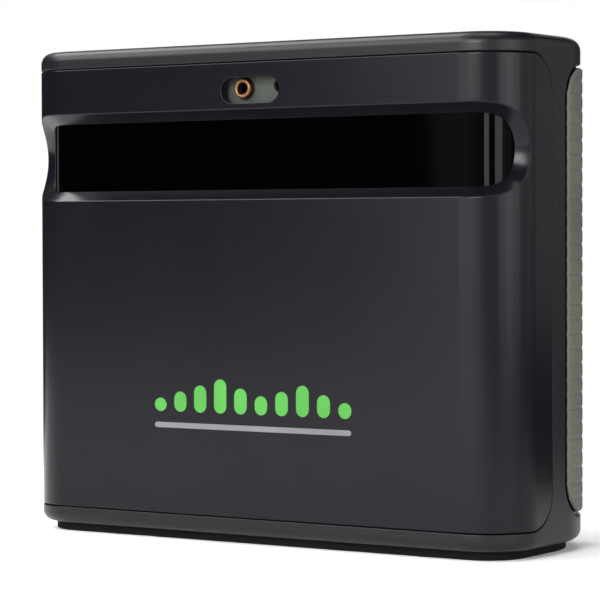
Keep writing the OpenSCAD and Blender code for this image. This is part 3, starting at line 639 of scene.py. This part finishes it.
def label_seat():
    label = middle("rating_label")
    depth = -0.3 * MM
    plate = box_round(back_s(label.x), label.z, 23.2 * MM, 13.2 * MM, MM, MM)
    return [(plate, rounded_line([(-depth, 0), (0, 0), (0, depth)], [0.15 * MM]), None, depth)]


def grip_seats():
    return [(grip_outline(GRIP_GAP, mirrored), hole_edge(GRIP_SEAT, 0.5 * MM), None, -GRIP_SEAT)
            for mirrored in (False, True)]


def back_features():
    """(loop, profile, offset where the hole meets the inner skin, floor height) for each feature."""
    return (screw_wells() + button_dish() + light_holes() + socket_mouth() + wheel_slot()
            + label_seat() + grip_seats())


def band_loop(z0, z1, stations):
    """Loop round the unrolled wall; both ends carry the same levels, so that they weld."""
    levels = spaced(z0, z1, GRID)
    start, end = stations[0], stations[-1]
    return ([(s, z0) for s in stations] + [(end, z) for z in levels[1:]]
            + [(s, z1) for s in reversed(stations[:-1])] + [(start, z) for z in reversed(levels[1:-1])])


def make_rear_housing(mat):
    shape = Shape()
    end = S_CUT + 2 * S_HALF
    stations = case_stations(S_CUT, end)
    z0, z1 = BOTTOM + BOTTOM_ROUND, TOP - TOP_ROUND
    panel = panel_outline(SEAM_GAP)
    seam = hole_edge(WALL, SEAM_EDGE)
    strips(shape, panel, seam)
    outer_holes, inner_holes = [offset(panel, seam[0][0])], [offset(panel, 0)]
    for loop, profile, through, floor in back_features():
        strips(shape, loop, profile)
        outer_holes.append(offset(loop, profile[0][0]))
        if through is not None:
            inner_holes.append(offset(loop, through))
        if floor is not None:
            reach = span([p[0] for p in loop]) + span([p[1] for p in loop])
            fill(shape, offset(loop, 0), [], floor, grid=grid_points(*reach, GRID))
    grid = grid_points(S_CUT, end, z0, z1, GRID)
    fill(shape, band_loop(z0, z1, stations), outer_holes, 0, grid=grid)
    inner_low, inner_high = BOTTOM + WALL, TOP - WALL
    fill(shape, band_loop(inner_low, inner_high, stations), inner_holes, -WALL, grid=grid, up=-1)
    for z_flat, r, sign in ((TOP, TOP_ROUND, 1), (BOTTOM, BOTTOM_ROUND, -1)):
        for k in range(ROUND_STEPS):
            turns = [math.pi / 2 * (k + i) / ROUND_STEPS for i in (0, 1)]
            for a, b in zip(stations, stations[1:]):
                quad = [(a, turns[0]), (b, turns[0]), (b, turns[1]), (a, turns[1])]
                if sign < 0:
                    quad.reverse()
                points, normals = [], []
                for s, t in quad:
                    point = (s, z_flat - sign * r * (1 - math.sin(t)), -r * (1 - math.cos(t)))
                    points.append(wrap(point))
                    normals.append(wrap_normal(point, (0, sign * math.sin(t), math.cos(t))))
                shape.face(points, normals)
    ring = [wrap((s, TOP, -TOP_ROUND)) for s in stations[:-1]]
    shape.face(ring, [Vector((0, 0, 1))] * len(ring))
    ring = [wrap((s, inner_high, -WALL)) for s in reversed(stations[:-1])]
    shape.face(ring, [Vector((0, 0, -1))] * len(ring))
    below = {"place": underside, "place_normal": underside_normal}
    pocket = foot_pocket()
    seat, flange = BOTTOM + 3.6 * MM, 4.1 * MM
    walls = rounded_line([(0.6 * MM, -BOTTOM), (0, -BOTTOM), (0, -seat), (flange, -seat),
                          (flange, -BOTTOM - WALL)], [0.3 * MM, LEDGE_R, LEDGE_R])
    strips(shape, pocket, walls, **below)
    fill(shape, plan_loop(BOTTOM_ROUND), [offset(pocket, walls[0][0])], -BOTTOM, **below)
    fill(shape, plan_loop(WALL), [offset(pocket, flange)], -BOTTOM - WALL, up=-1, **below)
    return shape.build("rear_housing_skin", [mat])


# ---------- window ----------

def make_window(mat):
    shape = Shape()
    reach = s_behind(FRONT_R - 0.5 * MM)
    half = WINDOW_Z - low("camera_window")[2]
    face, thick = -RECESS_DEPTH - 0.1 * MM, 2 * MM
    outline = box_round(0, WINDOW_Z, reach, half, 2 * MM, MM)
    edge = boss_edge(thick, 0.2 * MM, face)
    strips(shape, outline, edge, hole=False)
    grid = grid_points(-reach, reach, WINDOW_Z - half, WINDOW_Z + half, GRID)
    fill(shape, offset(outline, edge[0][0]), [], face, grid=grid)
    fill(shape, offset(outline, 0), [], face - thick, grid=grid, up=-1)
    return shape.build("camera_window_lens", [mat])


# ---------- side grips ----------

RIB_PITCH = 4.25 * MM
RIB_CROWN = 0.22 * MM
RIB_CREASE = 0.35 * MM
FINE_DEPTH = 0.03 * MM
FINE_RIBS = 5
ROUND_OVER = 0.7 * MM
GRIP_BASE = -1.1 * MM
ROW_STEP = 0.21 * MM
ROW_SHARES = 30


def rib_height(z):
    """Rounded pillows with a narrow crease between them, and fine lines across each one."""
    t = ((z - GRIP_LOW) / RIB_PITCH) % 1
    distance = min(t, 1 - t) * RIB_PITCH
    crown = -RIB_CROWN * (2 * t - 1) ** 4
    crease = -FINE_DEPTH * 2 * max(0.0, 1 - distance / RIB_CREASE)
    fine = -FINE_DEPTH * (0.5 + 0.5 * math.cos(2 * math.pi * FINE_RIBS * t))
    return crown + crease + fine


def make_grip(name, mirrored, mat, gap_shadow_mat):
    """Grid of rows across the pad; every row spans the rounded outline at its height."""
    shape = Shape()

    def row_ends(z):
        """Ends of the row in s, right-hand side."""
        ends = []
        for r, edge, sign in ((GRIP_R, GRIP_FRONT, 1), (GRIP_REAR_R, GRIP_BACK, -1)):
            d = max(0.0, GRIP_LOW + r - z, z - (GRIP_TOP - r))
            ends.append(edge + sign * (r - math.sqrt(max(0.0, r * r - d * d))))
        return ends

    margin = [0, 0.05, 0.15, 0.3, 0.5, 0.8]
    levels = [GRIP_LOW + m * MM for m in margin]
    levels += spaced(GRIP_LOW + MM, GRIP_TOP - MM, ROW_STEP)
    levels += [GRIP_TOP - m * MM for m in reversed(margin)]
    # shares of a row's length, close together at both ends
    rim = [m / ROW_SHARES for m in margin + [1.2]]
    middle_steps = 26
    across = rim + [rim[-1] + (1 - 2 * rim[-1]) * i / middle_steps for i in range(1, middle_steps)]
    across += [1 - a for a in reversed(rim)]

    def height(s, z, s0, s1):
        gap = max(0.0, min(s - s0, s1 - s, z - GRIP_LOW, GRIP_TOP - z))
        drop = 0
        if gap < ROUND_OVER:
            drop = ROUND_OVER - math.sqrt(max(0.0, ROUND_OVER ** 2 - (ROUND_OVER - gap) ** 2))
        return GRIP_PROUD + rib_height(z) - drop

    rows = []
    for z in levels:
        s0, s1 = row_ends(z)
        row = []
        for a in across:
            s = s0 + (s1 - s0) * a
            row.append((s, z, height(s, z, s0, s1)))
        rows.append(row)
    if mirrored:
        rows = [[(2 * S_HALF - s, z, h) for s, z, h in reversed(row)] for row in rows]
    placed = [[wrap(p) for p in row] for row in rows]
    count, width = len(rows), len(across)

    def smooth_normal(i, j):
        a, b = placed[max(i - 1, 0)][j], placed[min(i + 1, count - 1)][j]
        c, d = placed[i][max(j - 1, 0)], placed[i][min(j + 1, width - 1)]
        return (d - c).cross(b - a).normalized()

    normals = [[smooth_normal(i, j) for j in range(width)] for i in range(count)]
    for i in range(count - 1):
        for j in range(width - 1):
            ring = [(i, j), (i, j + 1), (i + 1, j + 1), (i + 1, j)]
            shape.face([placed[a][b] for a, b in ring], [normals[a][b] for a, b in ring])
    border = [(0, j) for j in range(width)] + [(i, width - 1) for i in range(1, count)]
    border += [(count - 1, j) for j in range(width - 2, -1, -1)] + [(i, 0) for i in range(count - 2, 0, -1)]
    skirt = [rows[i][j] for i, j in border]
    base = [wrap((s, z, GRIP_BASE)) for s, z, _ in skirt]
    for k in range(len(border)):
        m = (k + 1) % len(border)
        if (skirt[k][0], skirt[k][1]) == (skirt[m][0], skirt[m][1]):
            continue
        top_k, top_m = wrap(skirt[k]), wrap(skirt[m])
        side = (base[m] - base[k]).cross(top_k - base[k]).normalized()
        # the skirt faces take the second, near-black slot: painted shade that stands in for the shadow in
        # the gap round the pad
        shape.face([top_k, base[k], base[m], top_m], [side] * 4, slot=1)
    backs = [[wrap((s, z, GRIP_BASE)) for s, z, _ in row] for row in rows]
    for i in range(count - 1):
        for j in range(width - 1):
            ring = [(i, j), (i + 1, j), (i + 1, j + 1), (i, j + 1)]
            outward = wrap_normal(rows[i][j], (0, 0, -1))
            shape.face([backs[a][b] for a, b in ring], [outward] * 4)
    return shape.build(name, [mat, gap_shadow_mat])


# ---------- base pad ----------

PAD_INSET = 4.2 * MM
CHANNEL_DEPTH = -0.5 * MM


def make_base_pad(mat):
    """Rubber sheet with a rounded rim, a shallow channel inside it and the pocket of the foot."""
    shape = Shape()
    below = {"place": underside, "place_normal": underside_normal}
    outline = with_normals(plan_loop(PAD_INSET))
    pocket = foot_pocket()
    rim = boss_edge(BOTTOM, 0.5 * MM)
    mouth = hole_edge(BOTTOM, 0.3 * MM)
    strips(shape, outline, rim, hole=False, **below)
    strips(shape, pocket, mouth, **below)
    channel = [with_normals(plan_loop(PAD_INSET + d * MM)) for d in (3.0, 3.3, 4.1, 4.4)]
    depths = [0, CHANNEL_DEPTH, CHANNEL_DEPTH, 0]
    for k in range(3):
        lean = k - 1  # the outer wall leans one way, the floor is level, the inner wall leans back
        for i in range(len(channel[0])):
            j = (i + 1) % len(channel[0])
            ring = [(k, i), (k, j), (k + 1, j), (k + 1, i)]
            points = [(channel[a][b][0], channel[a][b][1], depths[a]) for a, b in ring]
            normal = Vector((lean * channel[k][i][2], lean * channel[k][i][3], 1))
            bent = underside_normal(None, normal.normalized())
            shape.face([underside(p) for p in points], [bent] * 4)
    fill(shape, offset(outline, rim[0][0]), [offset(channel[0], 0)], 0, **below)
    fill(shape, offset(channel[3], 0), [offset(pocket, mouth[0][0])], 0, **below)
    fill(shape, offset(outline, 0), [offset(pocket, 0)], -BOTTOM, up=-1, **below)
    return shape.build("base_pad_rubber", [mat])


# ---------- turned pieces ----------

def facing_front(cx, cz, y):
    """Placement for pieces that look towards -Y: (across, up, height in front of y)."""
    return (lambda p: Vector((cx + p[0], y - p[2], cz + p[1])),
            lambda p, n: Vector((n[0], -n[2], n[1])))


def facing_back(cx, cz, y):
    return (lambda p: Vector((cx - p[0], y + p[2], cz + p[1])),
            lambda p, n: Vector((-n[0], n[2], n[1])))


def lathe(shape, line, placing, count=64, slot=0):
    """Turns a (radius, height) line round the placement's axis, from the front of the axis to its back."""
    strips(shape, disc(0, 0, 0, count), line, placing[0], placing[1], hole=False, slot=slot)


def make_laser_barrel(mat, bore_mat):
    lo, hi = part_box("laser_barrel")
    c = middle("laser_barrel")
    r = (hi[0] - lo[0]) / 2
    length = hi[1] - lo[1]
    shape = Shape()
    placing = facing_front(c.x, c.z, lo[1])
    hole, bore_end, steps, chamfer = 1.6 * MM, -2 * MM, 14, 0.2 * MM
    ring = (r - hole) / 2
    bore = rounded_line([(0, bore_end), (hole, bore_end), (hole, -ring)], [LEDGE_R])
    turns = [math.pi * i / steps for i in range(steps + 1)]
    nose = [(hole + ring * (1 - math.cos(t)), -ring * (1 - math.sin(t))) for t in turns]
    nose += [(r, -length + chamfer), (r - chamfer, -length), (0, -length)]
    lathe(shape, bore, placing, slot=1)
    lathe(shape, nose, placing)
    return shape.build("laser_barrel_turned", [mat, bore_mat])


def make_button(mat):
    lo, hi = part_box("power_button")
    c = middle("power_button")
    shape = Shape()
    placing = facing_back(c.x, c.z, hi[1])
    r, collar, t = 5.5 * MM, 6.7 * MM, 1 * MM
    skirt = hi[1] - (BACK - WALL - 0.3 * MM)
    stem, stem_end = 2 * MM, lo[1] - hi[1]
    dished_face = [(0, -0.35 * MM), (3 * MM, -0.25 * MM), (r - 0.9 * MM, 0), (r, 0)]
    sides = [(r, -skirt), (collar, -skirt), (collar, -skirt - t), (stem, -skirt - t), (stem, stem_end)]
    line = rounded_line(dished_face + sides + [(0, stem_end)],
                        [2 * MM, MM, 0.5 * MM] + [LEDGE_R] * 4 + [0.2 * MM], 5)
    lathe(shape, line, placing, 96)
    return shape.build("power_button_cap", [mat])


# ---------- emblem ----------
# A plain row of level bars over a line, inlaid flush with the front face.

BAR_HEIGHTS = [4, 6, 8, 10, 7.5, 5.5, 7, 9, 6.5, 4.5]
BAR_PITCH = 7.2 * MM
BAR_WIDTH = 4.4 * MM
EMBLEM_Z = 38 * MM
LINE_Z = 34 * MM
LINE_HALF = 0.8 * MM
BAR_STEP, LINE_STEP = 0.6 * MM, 0.8 * MM
END_TRIM = 0.01 * MM  # keeps a sliver of straight side between two round ends
INLAY = 0.25 * MM


def bar_loops():
    half = (len(BAR_HEIGHTS) - 1) / 2
    loops = []
    for i, tall in enumerate(BAR_HEIGHTS):
        x = (i - half) * BAR_PITCH
        loops.append(rounded_rectangle(x - BAR_WIDTH / 2, x + BAR_WIDTH / 2, EMBLEM_Z, EMBLEM_Z + tall * MM,
                                       BAR_WIDTH / 2 - END_TRIM, BAR_STEP))
    return loops


def line_loop():
    reach = (len(BAR_HEIGHTS) - 1) / 2 * BAR_PITCH + BAR_WIDTH / 2
    return box_round(0, LINE_Z, reach, LINE_HALF, LINE_HALF - END_TRIM, LINE_STEP)


def make_inlay(name, loops, mat, top=0.0, depth=INLAY):
    shape = Shape()
    for loop in loops:
        side = [(0, top), (0, top - depth)]
        strips(shape, loop, side, hole=False, normals=[(1, 0), (1, 0)])
        fill(shape, offset(loop, 0), [], top)
        fill(shape, offset(loop, 0), [], top - depth, up=-1)
    return shape.build(name, [mat])


# ---------- painted reflections at both ends of the window ----

# grey strips on the window's round ends, painted reflections of two narrow strip lights; first and last s
# of each one on the right-hand half; the left-hand half mirrors them
PAINTED_REFLECTIONS = ((76.8 * MM, 78.6 * MM), (80.8 * MM, 83.6 * MM))
PAINTED_REFLECTION_TOP = -RECESS_DEPTH - 0.04 * MM
PAINTED_REFLECTION_DEPTH = 0.1 * MM
PAINTED_REFLECTION_R, PAINTED_REFLECTION_STEP = 0.4 * MM, 0.5 * MM


def painted_reflection_loops():
    low_z, high_z = low("camera_window")[2] + MM, high("camera_window")[2] - MM
    ends = list(PAINTED_REFLECTIONS) + [(-s1, -s0) for s0, s1 in PAINTED_REFLECTIONS]
    return [rounded_rectangle(s0, s1, low_z, high_z, PAINTED_REFLECTION_R, PAINTED_REFLECTION_STEP) for s0, s1 in ends]


# ---------- finishes ----------
# slot: (maker, colour, roughness, grain scale, grain depth, specular)

PLASTIC = {
    "case_front": ((0.0036, 0.0033, 0.0054), 0.22, 2600, 3e-6, 0.18),
    "case_rear": ((0.0042, 0.0040, 0.0056), 0.37, 2300, 8e-6, 0.25),
    "smoked_window": ((0.0003, 0.0003, 0.0003), 0.05, 400, 0, 0.015),
    # window_strip: grey of the strips painted on the window's round ends as reflections of strip lights
    "window_strip": ((0.015, 0.015, 0.015), 0.5, 1800, 2e-6, 0.08),
    "foam": ((0.010, 0.010, 0.011), 0.9, 900, 8e-5, 0.1),
    "grip_rubber": ((0.095, 0.099, 0.085), 0.62, 3000, 1.2e-5, 0.25),
    "base_rubber": ((0.004, 0.004, 0.0045), 0.8, 1500, 2e-5, 0.1),
    "label": ((0.30, 0.30, 0.31), 0.38, 900, 1e-6, 0.4),
    "button": ((0.030, 0.030, 0.034), 0.55, 2600, 8e-6, 0.3),
    "light_pipe": ((0.60, 0.66, 0.60), 0.32, 1800, 2e-6, 0.5),
    "circuit_board": ((0.012, 0.085, 0.035), 0.32, 700, 3e-6, 0.5),
    "camera_circuit": ((0.010, 0.035, 0.110), 0.32, 700, 3e-6, 0.5),
    "white_board": ((0.72, 0.72, 0.70), 0.35, 700, 2e-6, 0.5),
    "black_plastic": ((0.018, 0.018, 0.019), 0.5, 2400, 6e-6, 0.4),
    "led_package": ((0.80, 0.74, 0.38), 0.25, 1200, 1e-6, 0.5),
    "cream_plastic": ((0.72, 0.68, 0.56), 0.48, 2000, 5e-6, 0.4),
    "battery_wrap": ((0.012, 0.016, 0.070), 0.28, 350, 4e-5, 0.5),
    "lead_insulation": ((0.25, 0.02, 0.02), 0.4, 1500, 4e-6, 0.4),
    "optics_plastic": ((0.012, 0.012, 0.013), 0.6, 2400, 8e-6, 0.3),
    "polyimide": ((0.52, 0.22, 0.03), 0.25, 500, 2e-6, 0.5),
    "wheel_plastic": ((0.016, 0.016, 0.018), 0.5, 2600, 6e-6, 0.35),
    "antenna_copper": ((0.30, 0.17, 0.06), 0.35, 600, 2e-6, 0.5),
    "laser_plate": ((0.045, 0.050, 0.044), 0.6, 1800, 4e-6, 0.25),
    "ink_green": ((0.050, 0.24, 0.035), 0.45, 1800, 2e-6, 0.3),
    "ink_grey": ((0.13, 0.13, 0.135), 0.45, 1800, 2e-6, 0.3),
    "bore": ((0.004, 0.003, 0.003), 0.5, 1500, 2e-6, 0.2),
    "lens_glass": ((0.02, 0.03, 0.06), 0.06, 300, 1e-7, 0.8),
    "laser_glass": ((0.06, 0.01, 0.01), 0.08, 300, 1e-7, 0.7),
}
# slot: (colour, roughness, direction of the fine lines)
METAL = {
    "plated_steel": ((0.55, 0.55, 0.57), 0.25, (1, 30, 1)),
    "zinc_screw": ((0.52, 0.52, 0.54), 0.34, (1, 1, 30)),
    "cell_sleeve": ((0.05, 0.16, 0.40), 0.3, (30, 1, 1)),
    "black_anodised": ((0.012, 0.012, 0.013), 0.45, (1, 1, 30)),
    "mirror_plastic": ((0.70, 0.70, 0.72), 0.12, (1, 1, 4)),
    "aluminium_sink": ((0.62, 0.62, 0.64), 0.35, (30, 1, 1)),
    "laser_brass": ((0.17, 0.092, 0.042), 0.42, (1, 30, 1)),
    "black_screw": ((0.030, 0.030, 0.032), 0.4, (1, 30, 1)),
}
made = {}


def finish(slot):
    if slot not in made:
        if slot in METAL:
            made[slot] = metal(slot, *METAL[slot])
        else:
            made[slot] = moulded(slot, *PLASTIC[slot])
    return made[slot]


def stand_in(piece, node, body):
    """The piece rides on the body and is shown in place of the CAD node."""
    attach(piece, body)
    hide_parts(node)
    return piece


for part in frame["record"]["subparts"]:
    node = frame["nodes"].get(part["node"])
    if node is None:
        continue
    node.data.materials.clear()
    node.data.materials.append(finish(part["material_slot"]))

stand_in(make_front_shell(finish("case_front")), "front_shell", "case")
stand_in(make_rear_housing(finish("case_rear")), "rear_housing", "case")
stand_in(make_window(finish("smoked_window")), "camera_window", "case")
for side, mirrored in (("right", False), ("left", True)):
    # the base rubber on each pad's skirt is painted shade for the gap round the pad
    pad = make_grip("side_grip_%s_pad" % side, mirrored, finish("grip_rubber"), finish("base_rubber"))
    stand_in(pad, "side_grip_" + side, "case")
stand_in(make_base_pad(finish("base_rubber")), "base_pad", "case")
stand_in(make_laser_barrel(finish("laser_brass"), finish("bore")), "laser_barrel", "case")
stand_in(make_button(finish("button")), "power_button", "button")
INLAYS = (("emblem_bars", bar_loops(), "ink_green"), ("emblem_line", [line_loop()], "ink_grey"))
for name, loops, ink in INLAYS:
    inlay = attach(make_inlay(name, loops, finish(ink)), "case")

# grey strips laid just in front of the window: painted reflections of strip lights on its round ends
bars = make_inlay("window_painted_reflections", painted_reflection_loops(), finish("window_strip"), PAINTED_REFLECTION_TOP, PAINTED_REFLECTION_DEPTH)
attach(bars, "case")


# ---------- camera ----------

CAMERA_AT = Vector((0.43843, -0.66483, 0.09128))
YAW, PITCH, ROLL = 0.587, -0.026, -0.003
FOCAL_LENGTH, SENSOR_WIDTH = 159.7, 36
NEAREST, FURTHEST = 0.01, 100
ahead = Vector((-math.sin(YAW) * math.cos(PITCH), math.cos(YAW) * math.cos(PITCH), math.sin(PITCH)))
right = Vector((math.cos(YAW), math.sin(YAW), 0))
up = right.cross(ahead)
tilted_right = math.cos(ROLL) * right + math.sin(ROLL) * up
tilted_up = math.cos(ROLL) * up - math.sin(ROLL) * right
lens = bpy.data.cameras.new("camera")
lens.lens, lens.sensor_width = FOCAL_LENGTH, SENSOR_WIDTH
lens.clip_start, lens.clip_end = NEAREST, FURTHEST
camera = bpy.data.objects.new("camera", lens)
turned = Matrix((tilted_right, tilted_up, -ahead)).transposed().to_4x4()
camera.matrix_world = Matrix.Translation(CAMERA_AT) @ turned
bpy.context.scene.collection.objects.link(camera)
bpy.context.scene.camera = camera


# ---------- light and floor ----------

def area_light(name, at, width, length, power):
    """Rectangular light turned towards the middle of the case."""
    data = bpy.data.lights.new(name, "AREA")
    data.shape, data.size, data.size_y, data.energy = "RECTANGLE", width, length, power
    obj = bpy.data.objects.new(name, data)
    obj.location = at
    obj.rotation_euler = (Vector(AIM) - Vector(at)).to_track_quat("-Z", "Y").to_euler()
    bpy.context.scene.collection.objects.link(obj)


def around(azimuth, distance, z):
    """Point at an azimuth from the front (-Y) towards +X."""
    a = math.radians(azimuth)
    return (distance * math.sin(a), -distance * math.cos(a), z)


AIM = (0, 0, 0.073)
RING = 1.1
BOX_Z, BOX_TALL = 0.36, 0.7
# first and last azimuth of each upright softbox, and its power
SOFTBOXES = ((-28, -12, 2.3), (-12, 6, 2.3), (6, 22, 1.2), (22, 54, 1.1), (54, 66, 1.75), (66, 84, 3.5),
             (84, 98, 1.9), (98, 130, 1.4), (130, 165, 0.7), (190, 230, 2.0))
# name: azimuth, distance, height, width, length, power
HIGH_LIGHTS = {
    "light_high_front": (-43, 1.0, 0.8, 0.7, 0.5, 9),
    "light_high_middle": (8, 1.0, 0.5, 0.4, 0.42, 9),
    "light_high_left": (-90, 0.7, 1.1, 0.6, 0.7, 12),
}
SUN_POWER, SUN_SPREAD = 1.1, 0.5
BACKDROP_COLOR = (1, 1, 1, 1)
ROOM_COLOR, ROOM_POWER = (0.94, 0.95, 1.0, 1), 0.03
# the floor ends inside the ring of lights, so that the camera sees the white backdrop behind it
FLOOR_X, FLOOR_Y, FLOOR_Z = (-0.95, 0.4), (-1.0, 0.14), -0.1 * MM
FLOOR_FINISH = ((0.93, 0.93, 0.93), 0.9, 40, 1e-6, 0.1, 0.005)

for i, (first, last, power) in enumerate(SOFTBOXES):
    width = 2 * RING * math.tan(math.radians((last - first) / 2))
    area_light("softbox_%d" % i, around((first + last) / 2, RING, BOX_Z), width, BOX_TALL, power)
for name, (azimuth, distance, height, width, length, power) in HIGH_LIGHTS.items():
    area_light(name, around(azimuth, distance, height), width, length, power)

sun = bpy.data.lights.new("light_floor", "SUN")
sun.energy, sun.angle = SUN_POWER, SUN_SPREAD
sun_object = bpy.data.objects.new("light_floor", sun)
bpy.context.scene.collection.objects.link(sun_object)

world = bpy.data.worlds.new("studio")
world.use_nodes = True
bpy.context.scene.world = world
tree = world.node_tree
backdrop = tree.nodes["Background"]
backdrop.inputs["Color"].default_value = BACKDROP_COLOR
room = tree.nodes.new("ShaderNodeBackground")
room.inputs["Color"].default_value = ROOM_COLOR
room.inputs["Strength"].default_value = ROOM_POWER
ray = tree.nodes.new("ShaderNodeLightPath")
choice = tree.nodes.new("ShaderNodeMixShader")
tree.links.new(ray.outputs["Is Camera Ray"], choice.inputs["Fac"])
tree.links.new(room.outputs["Background"], choice.inputs[1])
tree.links.new(backdrop.outputs["Background"], choice.inputs[2])
tree.links.new(choice.outputs["Shader"], tree.nodes["World Output"].inputs["Surface"])

floor_mesh = bpy.data.meshes.new("floor")
corners = [(FLOOR_X[a], FLOOR_Y[b]) for a, b in ((0, 0), (1, 0), (1, 1), (0, 1))]
floor_mesh.from_pydata([(x, y, FLOOR_Z) for x, y in corners], [], [(0, 1, 2, 3)])
floor_mesh.materials.append(moulded("floor", *FLOOR_FINISH))
floor = bpy.data.objects.new("floor", floor_mesh)
bpy.context.scene.collection.objects.link(floor)

bpy.context.scene.view_settings.view_transform = "Standard"
bpy.context.scene.view_settings.look = "None"
